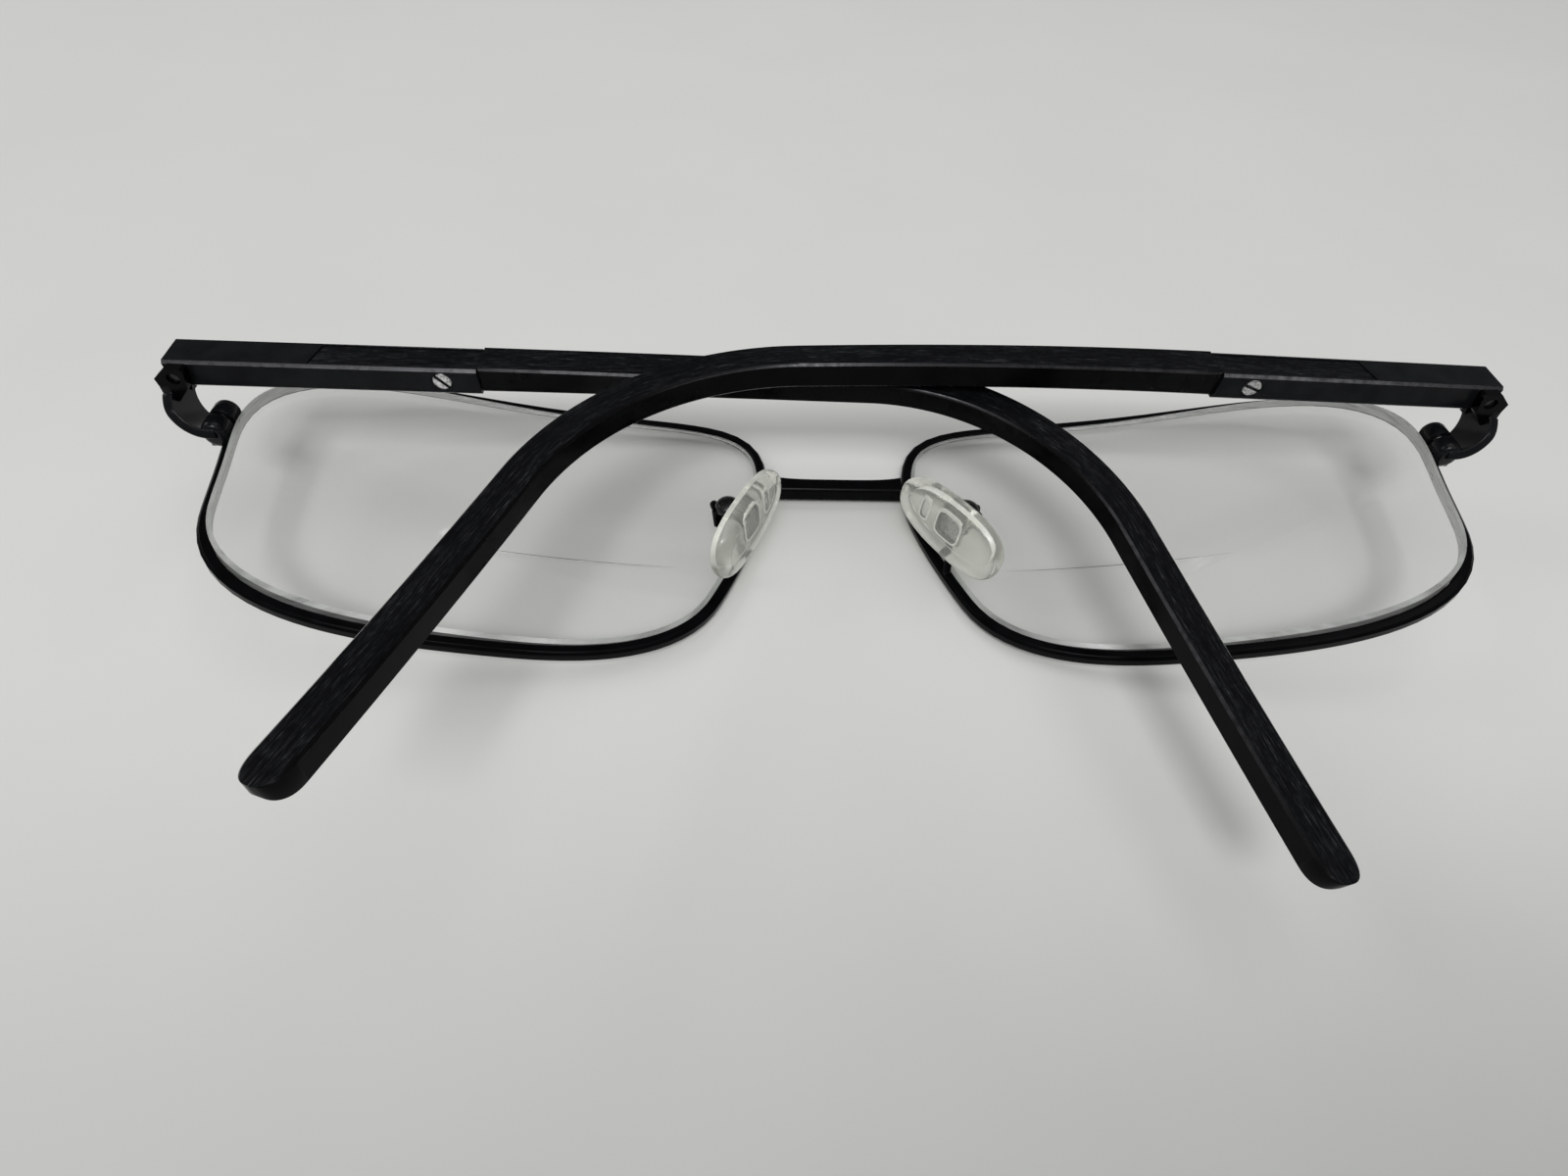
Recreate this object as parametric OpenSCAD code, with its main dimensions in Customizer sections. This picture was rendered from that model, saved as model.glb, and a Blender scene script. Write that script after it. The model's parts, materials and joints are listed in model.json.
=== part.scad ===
// Folded metal spectacle frame with flat-top bifocal lenses.
// It lies face down as it is put on a table: X runs to the wearer's right,
// Y to the brow and Z away from the table, out of the backs of the lenses.

/* [Lenses] */
// Width of each lens opening
lens_w = 55; // [52:0.2:60]
// Height of each lens opening
lens_h = 33.8; // [31:0.1:37]
// Distance between the two lens openings
lens_gap = 19.7; // [17:0.1:22]
// Turn of each lens round the face, in degrees
wrap = 10.1; // [7:0.1:11]
// Radius of the lens fronts, which the eyewires follow
front_radius = 168; // [140:1:200]
// Radius of the lens backs
back_radius = 150; // [140:5:170]
// Thickness of a lens at its optical centre
lens_t = 1.6; // [1.4:0.1:2.2]
// How far the optical centre lies towards the nose
decentre = 4; // [2:0.5:6]
// Squareness of the outline's corner between temple and brow
temple_square = 3.5; // [2.6:0.05:4]
// Squareness of the outline's corner between temple and cheek
low_square = 3.25; // [2.6:0.05:3.6]
// Share of the half width that the outline gains beside the temple
temple_flare = 0.06; // [0:0.01:0.08]
// Depth below the lens centre at which that gain begins
flare_drop = 6.3; // [5:0.1:8]
// Squareness of the outline's corner between nose and brow
brow_square = 6; // [3.6:0.1:6.4]
// Squareness of the outline's corner between nose and cheek
cheek_square = 3; // [2.6:0.05:3.2]
// Share of the half width that the outline draws in beside the nose
nose_slant = 0.13; // [0.05:0.01:0.16]
// Height above the lens centre at which the slant begins
slant_top = 6.7; // [4:0.1:8]
// Radius of the reading segment
segment_r = 14; // [12.5:0.5:15]
// Height of the segment's flat top above the segment's centre
segment_top = 5; // [4:0.5:6]
// Step of the reading segment at its flat top
segment_step = 0.3; // [0.15:0.05:0.5]
// Distance of the segment's centre from the lens centre, towards the nose
segment_in = 6; // [3:0.5:7]
// Depth of the segment's centre below the lens centre
segment_drop = 9.6; // [8:0.2:12]

/* [Eyewires] */
// Width of the eyewire seen from the front
wire_w = 1.15; // [1:0.1:1.5]
// Depth of the eyewire from front to back
wire_d = 1.5; // [1.3:0.05:2]
// Depth of the groove that holds the lens
groove = 0.45; // [0.3:0.05:0.6]
// Gap between the eyewire's two ends at the closing block
split_gap = 0.5; // [0.3:0.1:0.8]
// Height of the split above the lens centre
split_y = 4.8; // [4.4:0.1:6]

/* [Bridge] */
// Height of the bridge bar at its middle
bridge_h = 1.8; // [1.2:0.1:2.2]
// Depth of the bridge bar
bridge_d = 2; // [1.6:0.1:2.4]
// Height of the bar's lower edge above the lens centres
bridge_y = 6.5; // [4.5:0.1:8]
// Rise of the bar's upper edge where it meets the eyewires
bridge_flare = 1.2; // [0:0.1:2]

/* [Endpieces] */
// Distance of each hinge axis outside the eyewire's outer wall
hinge_out = 2.9; // [2.5:0.1:3.3]
// Height of the hinges' middle above the lens centres
hinge_y = 8.35; // [7.9:0.05:8.7]
// Height of the hinge axes behind the eyewire's outermost point
hinge_back = 6.8; // [6.4:0.1:7.2]
// Thickness of the endpiece strap
strap_t = 0.9; // [0.7:0.05:1.1]
// Outer radius of the strap's bend
strap_r = 4.3; // [4:0.05:4.5]
// Distance of the strap's outer face outside the hinge axis
strap_out = 1.85; // [1.75:0.05:1.95]
// Depth of the bend's centre in front of the hinge axis
bend_drop = 3.6; // [3.4:0.05:3.8]
// Tilt of the strap's bend towards the cheek, in degrees
strap_tilt = 32; // [26:1:36]
// Radius of the closing block's barrel
barrel_r = 1.25; // [1.1:0.05:1.35]
// Radius of the closing screw
lock_r = 0.6; // [0.5:0.05:0.7]

/* [Hinges] */
// Radius of the hinge screw
pin_r = 0.6; // [0.5:0.05:0.65]
// Running clearance of the hinge, on the radius
pin_fit = 0.04; // [0.02:0.01:0.08]
// Thickness of the hinge plate under the temple
plate_t = 1; // [0.8:0.05:1.2]
// Thickness of the hinge leaf inside the temple
leaf_t = 1; // [0.8:0.05:1.2]
// Radius of the hinge leaf round the screw
leaf_r = 0.95; // [0.9:0.01:1]
// Clearance between the leaves
leaf_fit = 0.06; // [0.04:0.01:0.1]

/* [Temples] */
// Length of a temple from its hinge axis, along the arm
temple_l = 137; // [130:0.5:145]
// Height of the metal front of the temple
sleeve_h = 4; // [3.6:0.1:4.4]
// Thickness of the metal front of the temple
sleeve_t = 3.1; // [2.9:0.1:3.4]
// Length of the metal front behind the hinge axis
sleeve_l = 30; // [27:0.5:33]
// Metal in front of the hinge axis
nose_l = 1.1; // [0.9:0.05:1.2]
// Outer face's height above the hinge axis
face_rise = 1.35; // [1.25:0.05:1.5]
// Start of the channel that the arm sits in
channel_x = 13.4; // [11:0.2:16]
// Wall beside the channel
channel_wall = 0.45; // [0.35:0.05:0.6]
// Floor of the channel
channel_floor = 0.9; // [0.7:0.1:1.2]
// Height of the arm behind the metal front
arm_h = 3.9; // [3.6:0.05:4.2]
// Height of the arm at its tip
tip_h = 3.05; // [2.8:0.05:4]
// Thickness of the arm behind the metal front
arm_t = 2.9; // [2.4:0.05:3]
// Thickness of the arm at its tip
tip_t = 2.6; // [2.2:0.05:3]
// Shift of the arm towards the brow, out of the middle of its metal front
arm_shift = 0.3; // [0:0.05:0.3]
// Radius of the left arm's bend behind the ear
left_bend_r = 24.6; // [22:0.2:28]
// Radius of the right arm's bend behind the ear
right_bend_r = 26.6; // [24:0.2:30]
// Distance of the left arm's bend from the hinge axis
left_bend_x = 70.6; // [68:0.2:76]
// Distance of the right arm's bend from the hinge axis
right_bend_x = 73.2; // [68:0.2:76]
// Angle of the left arm's bend behind the ear, in degrees
left_bend_angle = 76.5; // [66:0.5:80]
// Angle of the right arm's bend behind the ear, in degrees
right_bend_angle = 69.5; // [62:0.5:78]
// Inward curve of the left arm, as a radius
left_bow_r = 2500; // [1800:50:4000]
// Inward curve of the right arm, as a radius
right_bow_r = 610; // [560:10:800]
// Outward curl of the left tip
left_curl = 3.4; // [2:0.1:5]
// Outward curl of the right tip
right_curl = 7.4; // [6:0.1:9]
// Distance of the temple screw from the end of the metal front
screw_in = 3.7; // [3:0.1:6]

/* [Resting pose] */
// Angle at which the left temple lies, below square, in degrees
left_fold_angle = -0.7; // [-1.2:0.1:-0.6]
// Angle at which the right temple lies on the left one, in degrees
right_fold_angle = 3; // [2.9:0.1:3.6]
// Rise of the left arm towards the brow, in degrees
left_rise_angle = -0.2; // [-0.6:0.1:0.4]
// Rise of the right arm towards the brow, in degrees
right_rise_angle = -1.6; // [-2:0.1:-1]
// Inward turn that the left arm's fitting gave it, in degrees
left_twist_angle = 6.7; // [4:0.1:8]
// Inward turn that the right arm's fitting gave it, in degrees
right_twist_angle = -2.4; // [-4:0.1:0]

/* [Nose pads] */
// Length of a pad
pad_l = 13.8; // [12:0.2:15]
// Width of a pad
pad_w = 7.4; // [6.5:0.1:8]
// Thickness of a pad
pad_t = 2; // [1.8:0.1:2.4]
// Distance of each pad's middle outside the eyewire's nose side
pad_out = 0.45; // [0.2:0.05:0.8]
// Drop of each pad's middle below the lens centres
pad_y = -5.4; // [-6:0.1:-4.5]
// Height of each pad's middle behind the lens centres
pad_z = 7; // [6.4:0.1:7.6]
// Outward splay of the pads towards the cheeks, in degrees
pad_splay = 25; // [20:1:28]
// Turn of the pad faces towards the nose, in degrees
pad_face = 85; // [72:1:88]
// Tilt of the pads' tops towards the lenses, in degrees
pad_tilt = 5; // [0:1:10]
// Swing of the left pad on its screw, in degrees
left_swing_angle = -4.5; // [-8:0.5:8]
// Swing of the right pad on its screw, in degrees
right_swing_angle = 7.5; // [-8:0.5:8]
// Wire thickness of the pad arms
arm_wire = 0.9; // [0.8:0.05:1]

/* [Hidden] */

// The lens centres' place over the middle of the table area that the frame covers
rest_y = 12.671;
rest_z = 2.715;

fine = 48;
ball_fine = 240;
seat = 0.05;
chamfer = 0.3;
black = [0.07, 0.07, 0.075];
charcoal = [0.16, 0.165, 0.17];
steel = [0.75, 0.75, 0.76];
clear = [0.85, 0.88, 0.86, 0.4];
pad_clear = [0.85, 0.87, 0.78, 0.6];

function clamp(v, lo, hi) = min(max(v, lo), hi);
function ease(v) = let (u = clamp(v, 0, 1)) u * u * (3 - 2 * u);

// Outline of the lens opening: each corner has its own squareness

half_w = lens_w / 2;
half_h = lens_h / 2;
pad_x = lens_gap / 2 + pad_out;
eye_x = lens_gap / 2 + half_w * cos(wrap);
side_run = 16;
split_a = atan2(split_y, half_w);
split_half = asin(split_gap / 2 / half_w);
ring_count = 120;

function squareness(a) =
    let (quarter = floor(((a % 360) + 360) % 360 / 90))
    [temple_square, brow_square, cheek_square, low_square][quarter];

function edge(a) =
    let (n = squareness(a))
    let (r = pow(pow(abs(cos(a)) / half_w, n) + pow(abs(sin(a)) / half_h, n), -1 / n))
    let (x = r * cos(a), y = r * sin(a))
    [x * (x < 0 ? 1 - nose_slant * ease((slant_top - y) / side_run)
        : 1 + temple_flare * ease((y + flare_drop) / side_run)), y];

function edge_normal(a) =
    let (d = edge(a + 0.5) - edge(a - 0.5))
    [d[1], -d[0]] / norm(d);

function grown(a, g) = edge(a) + g * edge_normal(a);

function ring_angle(i) =
    split_a + (i == 0 ? split_half : i == ring_count ? 360 - split_half : 360 * i / ring_count);

function outline(g) = [for (i = [0 : ring_count]) grown(ring_angle(i), g)];

// Depth of a bowl of the given radius under a point
function dish(p, r) = r - sqrt(r * r - p * p);

hinge_x = eye_x + (half_w + wire_w) * cos(wrap) + hinge_out;
hinge_z = half_w * sin(wrap) + dish(half_w, front_radius) * cos(wrap) + wire_d + hinge_back;

// A solid through a row of rings, each running anticlockwise seen from the rings after it
module skin(rings) {
    m = len(rings[0]);
    n = len(rings);
    sides = [
        for (i = [0 : n - 2], j = [0 : m - 1])
            let (a = i * m + j, b = i * m + (j + 1) % m)
            each [[a, a + m, b], [b, a + m, b + m]]
    ];
    caps = [[for (j = [0 : m - 1]) j], [for (j = [m - 1 : -1 : 0]) (n - 1) * m + j]];
    polyhedron([for (r = rings) each r], concat(sides, caps));
}

// Places

module placed() {
    translate([0, rest_y, rest_z]) children();
}

// Puts a piece made for the wearer's right on its side: 1 is right, -1 is left
module sided(side) {
    placed() mirror([side > 0 ? 0 : 1, 0, 0]) children();
}

module at_eye() {
    translate([eye_x, 0, 0]) rotate([0, -wrap, 0]) children();
}

module at_hinge() {
    translate([hinge_x, hinge_y, hinge_z]) children();
}

// The frame of one temple: its hinge axis along Y, and +X along the arm to its tip
module at_temple(side) {
    fold = side > 0 ? right_fold_angle : left_fold_angle;
    sided(side) at_hinge() mirror([1, 0, 0]) rotate([0, -fold, 0]) children();
}

module at_pad() {
    translate([pad_x, pad_y, pad_z]) rotate([0, 0, pad_splay]) rotate([0, -pad_face, 0])
        rotate([pad_tilt, 0, 0]) children();
}

// An upright slice of an outline drawn in X and Z, between two places along Y
module slab(y0, y1) {
    translate([0, y1, 0]) rotate([90, 0, 0]) linear_extrude(y1 - y0) children();
}

// A cylinder along Y
module rod(r, y0, y1) {
    translate([0, y1, 0]) rotate([90, 0, 0]) cylinder(r = r, h = y1 - y0, $fn = fine);
}

// A cylinder along X
module axle(r, x0, x1) {
    translate([x0, 0, 0]) rotate([0, 90, 0]) cylinder(r = r, h = x1 - x0, $fn = fine);
}

// All that lies inside the eyewire's outer wall, to seat what is brazed to the wall
module inside_wire(top = 30) {
    at_eye() translate([0, 0, -10]) linear_extrude(10 + top) polygon(outline(wire_w));
}

// Eyewires: a grooved wire swept round the outline, on the bowl of the lens fronts

groove_mouth = 0.35;
groove_root = 0.2;

function wire_section() =
    let (b = chamfer, w = wire_w, d = wire_d, m = wire_d / 2)
    [
        [b / 2, 0], [0, b / 2], [0, m - groove_mouth], [groove, m - groove_root],
        [groove, m + groove_root], [0, m + groove_mouth], [0, d - b / 2], [b / 2, d],
        [w - b, d], [w, d - b], [w, b], [w - b, 0]
    ];

function wire_ring(a) = [
    for (q = wire_section())
        let (p = grown(a, q[0]))
        [p[0], p[1], dish(edge(a), front_radius) + q[1]]
];

module eyewire(side) {
    color(black) sided(side) at_eye() skin([for (i = [0 : ring_count]) wire_ring(ring_angle(i))]);
}

// Lenses: a bowl cut to the outline, with a ridge for the groove and a reading segment

lens_inset = 0.25;
ridge_half = 0.15;
ridge_tip = 0.12;

module bowl(depth) {
    translate([0, 0, front_radius + depth]) sphere(r = front_radius, $fn = ball_fine);
}

module lens_prism(g) {
    translate([0, 0, -5]) linear_extrude(25) polygon(outline(g));
}

module segment() {
    top_y = segment_top - segment_drop;
    low_y = -segment_r - segment_drop;
    slope = segment_step / (top_y - low_y);
    lean = slope * front_radius;
    intersection() {
        lens_prism(-seat);
        translate([-segment_in, -segment_drop, -4]) cylinder(r = segment_r, h = 20, $fn = 96);
        translate([-segment_in - segment_r, top_y - 40, -4]) cube([2 * segment_r, 40, 20]);
        difference() {
            translate([0, lean, slope * low_y - slope * lean / 2]) bowl(lens_inset);
            translate([0, 0, front_radius + lens_inset]) sphere(r = front_radius - 1, $fn = ball_fine);
        }
    }
}

module lens(side) {
    ridge_z = wire_d / 2;
    color(clear) sided(side) at_eye() difference() {
        union() {
            intersection() {
                lens_prism(-seat);
                bowl(lens_inset);
            }
            difference() {
                intersection() {
                    lens_prism(groove - ridge_tip);
                    bowl(ridge_z - ridge_half);
                }
                bowl(ridge_z + ridge_half);
            }
            segment();
        }
        translate([-decentre, 0, lens_inset + lens_t + back_radius]) sphere(r = back_radius, $fn = ball_fine);
    }
}

// Bridge: a flat bar whose upper edge sweeps up into the eyewires

bridge_front = -2.1;

function bridge_top(x) = bridge_y + bridge_h + bridge_flare * pow(abs(x) / (lens_gap / 2), 4);

module bridge() {
    span = lens_gap / 2 + 1;
    back = bridge_front + bridge_d;
    color(black) placed() difference() {
        intersection() {
            translate([0, 0, bridge_front]) linear_extrude(bridge_d) polygon(concat(
                [for (i = [-12 : 12]) [i / 12 * span, bridge_top(i / 12 * span)]],
                [[span, bridge_y], [-span, bridge_y]]
            ));
            translate([-span, 0, 0]) rotate([90, 0, 90]) linear_extrude(2 * span) polygon([
                [bridge_y + chamfer, bridge_front], [bridge_y, bridge_front + chamfer],
                [bridge_y, back - chamfer], [bridge_y + chamfer, back],
                [bridge_y + 20, back], [bridge_y + 20, bridge_front]
            ]);
        }
        inside_wire();
        mirror([1, 0, 0]) inside_wire();
    }
}

// Endpieces: a bent strap with the hinge's plate and leaf, and half the closing block

strap_in = strap_out - strap_t;
stop_z = -1.2;
sweep_z = -1.95;
sweep_x = 1.2;
tilt_z = -2.6;
plate_y = -sleeve_h / 2 - leaf_fit;
strap_low = plate_y - plate_t;
strap_high = leaf_t / 2;
barrel_x = -2.5;
barrel_z = -4.95;
block_low = 1.6;
block_high = 1.5;
block_web = 2;
block_skirt = 0.5;
block_room = 0.15;
lock_fit = 0.05;
split_at = split_y - hinge_y;
wire_back = dish(edge(split_a), front_radius) + wire_d + seat;

module strap_bend() {
    translate([strap_out - strap_r, -bend_drop]) intersection() {
        difference() {
            circle(r = strap_r, $fn = 96);
            circle(r = strap_r - strap_t, $fn = 96);
        }
        translate([-2, -strap_r - 1]) square([strap_r + 3, strap_r + 1]);
    }
    translate([strap_in, -bend_drop - chamfer / 10]) square([strap_t, bend_drop + tilt_z]);
}

module plate_outline() {
    polygon([
        [1.9, 0], [0.45, 1.2], [-1.1, 1.15], [-1.35, 0.8], [-0.8, -1.2],
        [strap_in, -3], [strap_in, -bend_drop], [strap_out, -bend_drop], [strap_out, -1]
    ]);
}

module leaf_outline() {
    circle(r = leaf_r, $fn = fine);
    polygon([
        [-0.5, -0.8], [leaf_r, -0.1], [leaf_r, stop_z], [strap_out, stop_z],
        [strap_out, -bend_drop], [strap_in, -bend_drop], [0.4, -2]
    ]);
}

module closing_barrel(y0, y1, room = 0) {
    translate([barrel_x, 0, barrel_z]) {
        rod(barrel_r + room, y0, y1);
        translate([-block_web / 2 - room, y0, -barrel_r - block_skirt - room])
            cube([block_web + 2 * room, y1 - y0, barrel_r + block_skirt + room]);
    }
}

module closing_bore() {
    translate([barrel_x, 0, barrel_z]) rod(lock_r + lock_fit, -10, 10);
}

module strap() {
    slab(strap_low, plate_y) plate_outline();
    slab(-strap_high, strap_high) leaf_outline();
    slab(strap_low, strap_high) polygon([
        [strap_in, -bend_drop], [strap_out, -bend_drop], [strap_out, stop_z],
        [sweep_x, stop_z], [sweep_x, sweep_z], [strap_in, sweep_z]
    ]);
    translate([0, 0, tilt_z]) rotate([-strap_tilt, 0, 0]) translate([0, 0, -tilt_z])
        slab(strap_low, strap_high) strap_bend();
}

module endpiece(side) {
    color(black) sided(side) difference() {
        union() {
            difference() {
                at_hinge() strap();
                inside_wire();
            }
            difference() {
                at_hinge() closing_barrel(split_at - split_gap / 2 - block_low, split_at - split_gap / 2);
                inside_wire(wire_back);
            }
        }
        at_hinge() {
            rod(pin_r + pin_fit, -10, 10);
            closing_bore();
            closing_barrel(split_at - split_gap / 2, split_at + 10, block_room);
        }
    }
}

module closing_block(side) {
    color(black) sided(side) difference() {
        at_hinge() difference() {
            closing_barrel(split_at + split_gap / 2, split_at + split_gap / 2 + block_high);
            closing_bore();
        }
        inside_wire(wire_back);
    }
}

module closing_screw(side) {
    top = split_at + split_gap / 2 + block_high;
    head_r = barrel_r - 0.1;
    color(black) sided(side) at_hinge() translate([barrel_x, 0, barrel_z]) {
        rod(lock_r, top - block_high - split_gap - block_low + 0.3, top + 0.1);
        intersection() {
            rod(head_r, top, top + 2);
            translate([0, top - 0.5, 0]) sphere(r = head_r + 0.25, $fn = fine);
        }
    }
}

module hinge_screw(side) {
    head_t = 0.5;
    head_y = sleeve_h / 2 - head_t - 0.05;
    color(black) sided(side) at_hinge() difference() {
        union() {
            rod(pin_r, strap_low + 0.3, head_y + head_t / 2);
            rod(pin_r + 0.5, head_y, head_y + head_t);
        }
        translate([-2, head_y + head_t - 0.2, -0.14]) cube([4, 1, 0.28]);
    }
}

// Temples: a metal front that is a channel for the arm

channel_half = sleeve_h / 2 - channel_wall;
channel_z = face_rise - sleeve_t + channel_floor;
channel_slant = 0.35;
screw_r = 0.95;
shank_r = 0.5;
arm_face = face_rise - seat;
screw_x = sleeve_l - screw_in;
screw_z = channel_z + shank_r + 0.25;
tongue_fit = 0.04;

module risen(side) {
    rotate([0, 0, side > 0 ? right_rise_angle : left_rise_angle]) children();
}

module sleeve_outline() {
    y = sleeve_h / 2;
    top = face_rise;
    low = face_rise - sleeve_t;
    polygon([
        [-y + chamfer, low], [y - chamfer, low], [y, low + chamfer], [y, top - chamfer],
        [y - chamfer, top], [-y + chamfer, top], [-y, top - chamfer], [-y, low + chamfer]
    ]);
}

module leaf_slot() {
    r = leaf_r + leaf_fit;
    slab(-leaf_t / 2 - leaf_fit, leaf_t / 2 + leaf_fit) {
        circle(r = r, $fn = fine);
        translate([-4, -4]) square([4 + r, 4]);
        translate([-4, -4]) square([4, 4 + r]);
    }
}

module temple_front(side) {
    color(black) at_temple(side) difference() {
        risen(side) difference() {
            translate([-nose_l, 0, 0]) rotate([90, 0, 90]) linear_extrude(nose_l + sleeve_l) sleeve_outline();
            translate([0, 0, channel_z]) linear_extrude(sleeve_t) polygon([
                [channel_x - channel_slant, -channel_half], [channel_x + channel_slant, channel_half],
                [sleeve_l + 1, channel_half], [sleeve_l + 1, -channel_half]
            ]);
            translate([screw_x, 0, screw_z]) {
                rod(shank_r + seat, -sleeve_h, sleeve_h);
                rod(screw_r + seat, -sleeve_h, -channel_half);
            }
        }
        leaf_slot();
        rod(pin_r + pin_fit, -10, 10);
        rod(pin_r + 0.5 + pin_fit, sleeve_h / 2 - 0.5 - 0.1, 10);
    }
}

module temple_screw(side) {
    head_y = -sleeve_h / 2 - 0.05;
    color(steel) at_temple(side) risen(side) translate([screw_x, 0, screw_z]) difference() {
        union() {
            rod(shank_r, head_y + 0.1, sleeve_h / 2 - 0.1);
            rod(screw_r, head_y, -channel_half - tongue_fit);
        }
        translate([-2, head_y - 1, -0.13]) cube([4, 1.2, 0.26]);
    }
}

// Arms: a flat bar that bows inwards, bends behind the ear and is turned by its fitting

twist_z = -0.25;

// What the fitting gave each arm: start, angle and radius of its bend, bow, curl and turn
function fitting(side) = side > 0
    ? [right_bend_x, right_bend_angle, right_bend_r, right_bow_r, right_curl, right_twist_angle]
    : [left_bend_x, left_bend_angle, left_bend_r, left_bow_r, left_curl, left_twist_angle];

function bend_end(f) = f[0] + f[2] * f[1] * PI / 180;
function arm_angle(s, f) = clamp((s - f[0]) / f[2] * 180 / PI, 0, f[1]);

function arm_middle(s, f) =
    let (a = arm_angle(s, f), past = max(0, s - bend_end(f)))
    s < f[0] ? [s, 0] : [
        f[0] + f[2] * sin(a) + past * cos(f[1]),
        -f[2] * (1 - cos(a)) - past * sin(f[1])
    ];

function arm_inward(s, f) =
    pow(max(0, s - sleeve_l), 2) / (2 * f[3]) - f[4] * pow(max(0, (s - f[0]) / (temple_l - f[0])), 2);

// Corners of a bar section of height h: its outer face is at z and its thickness is t
function bar_section(h, t, z, c) = [
    [h / 2 - c, z], [-h / 2 + c, z], [-h / 2, z - c], [-h / 2, z - t + c],
    [-h / 2 + c, z - t], [h / 2 - c, z - t], [h / 2, z - t + c], [h / 2, z - c]
];

function arm_ring(s, section, f, skew = 0, shift = arm_shift) =
    let (a = arm_angle(s, f), m = arm_middle(s, f), turn = f[5] * ease((s - sleeve_l) / (f[0] - sleeve_l)))
    [for (q = section)
        let (h = q[0] + shift, x = m[0] + h * sin(a) + skew * h, y = m[1] + h * cos(a))
        let (z = q[1] - arm_inward(s, f) - twist_z)
        [x, y * cos(turn) - z * sin(turn), y * sin(turn) + z * cos(turn) + twist_z]
    ];

// The bar's section at s: it tapers to the tip, and its end is a half circle
function bar_at(s) =
    let (u = clamp((s - sleeve_l) / (temple_l - sleeve_l), 0, 1))
    let (h = arm_h + (tip_h - arm_h) * u, t = arm_t + (tip_t - arm_t) * u)
    let (v = clamp((s - temple_l + tip_h / 2) / (tip_h / 2), 0, 0.98))
    let (k = sqrt(1 - v * v), thin = 0.55 + 0.45 * k)
    bar_section(h * k, t * thin, arm_face - t * (1 - thin) / 2, chamfer * k * thin);

module temple_arm(side) {
    f = fitting(side);
    tongue = bar_section(2 * (channel_half - tongue_fit), arm_face - channel_z, arm_face, 0.1);
    slant = channel_slant / channel_half;
    shoulder = sleeve_l + 0.1;
    tip_s = temple_l - tip_h / 2;
    stations = concat(
        [for (i = [0 : 8]) shoulder + (f[0] - shoulder) * i / 8],
        [for (i = [1 : 22]) f[0] + (bend_end(f) - f[0]) * i / 22],
        [for (i = [1 : 5]) bend_end(f) + (tip_s - bend_end(f)) * i / 5],
        [for (v = [18 : 18 : 72]) tip_s + tip_h / 2 * sin(v)],
        [temple_l]
    );
    color(charcoal) at_temple(side) risen(side) difference() {
        skin(concat(
            [arm_ring(channel_x + seat, tongue, f, slant, 0), arm_ring(sleeve_l, tongue, f, 0, 0)],
            [for (s = stations) arm_ring(s, bar_at(s), f)]
        ));
        translate([screw_x, 0, screw_z]) rod(shank_r + seat, -sleeve_h, sleeve_h);
    }
}

// Nose pads: a clear pillow on a mount that rocks in the box of the pad arm

mount_t = 0.5;
mount_w = 3.4;
boss_r = 0.75;
boss_w = 1.3;
box_gap = 0.1;
box_wall = 0.4;
box_l = 2.2;
pad_pin = 0.4;
pivot_z = -pad_t / 2 - mount_t - boss_r;
box_back = pivot_z - boss_r - 0.1;
box_half = boss_w / 2 + box_gap;

module swung(side) {
    translate([0, 0, pivot_z]) rotate([side > 0 ? right_swing_angle : left_swing_angle, 0, 0])
        translate([0, 0, -pivot_z]) children();
}

function pad_ring(k, z) = [
    for (a = [0 : 9 : 351])
        let (n = 2.5)
        let (r = pow(pow(abs(cos(a)), n) + pow(abs(sin(a)), n), -1 / n))
        let (y = r * sin(a))
        [pad_w / 2 * k * r * cos(a) * (1 - 0.1 * y), (pad_l / 2 - pad_w / 2 * (1 - k)) * y, z * pad_t / 2]
];

module nose_pad(side) {
    levels = [[0.84, -1], [0.96, -0.75], [1, -0.2], [0.97, 0.35], [0.86, 0.75], [0.66, 1]];
    color(pad_clear) sided(side) at_pad() swung(side) skin([for (q = levels) pad_ring(q[0], q[1])]);
}

module pad_mount(side) {
    color(steel) sided(side) at_pad() swung(side) difference() {
        union() {
            translate([-mount_w / 2, -mount_w / 2, -pad_t / 2 - mount_t]) cube([mount_w, mount_w, mount_t]);
            translate([-boss_w / 2, -boss_r, pivot_z]) cube([boss_w, 2 * boss_r, boss_r]);
            translate([0, 0, pivot_z]) axle(boss_r, -boss_w / 2, boss_w / 2);
        }
        translate([0, 0, pivot_z]) axle(pad_pin + pin_fit, -5, 5);
    }
}

module pad_screw(side) {
    reach = box_half + box_wall;
    color(steel) sided(side) at_pad() translate([0, 0, pivot_z]) {
        axle(pad_pin, -reach, reach);
        axle(pad_pin + 0.3, reach, reach + 0.35);
    }
}

function mix(a, b, t) = a * (1 - t) + b * t;

function curve(p, t) =
    let (n = len(p))
    n == 1 ? p[0] : curve([for (i = [0 : n - 2]) mix(p[i], p[i + 1], t)], t);

// A round wire of n sides along a curve with control points p
module bent_wire(p, r, steps = 14, n = 10) {
    skin([for (i = [0 : steps])
        let (t = i / steps, c = curve(p, t))
        let (d = curve(p, min(1, t + 0.01)) - curve(p, max(0, t - 0.01)))
        let (w = d / norm(d), u0 = cross([1, 0, 0], w), u = u0 / norm(u0), v = cross(w, u))
        [for (j = [0 : n - 1]) c + r * cos(360 * j / n) * u + r * sin(360 * j / n) * v]
    ]);
}

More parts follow.
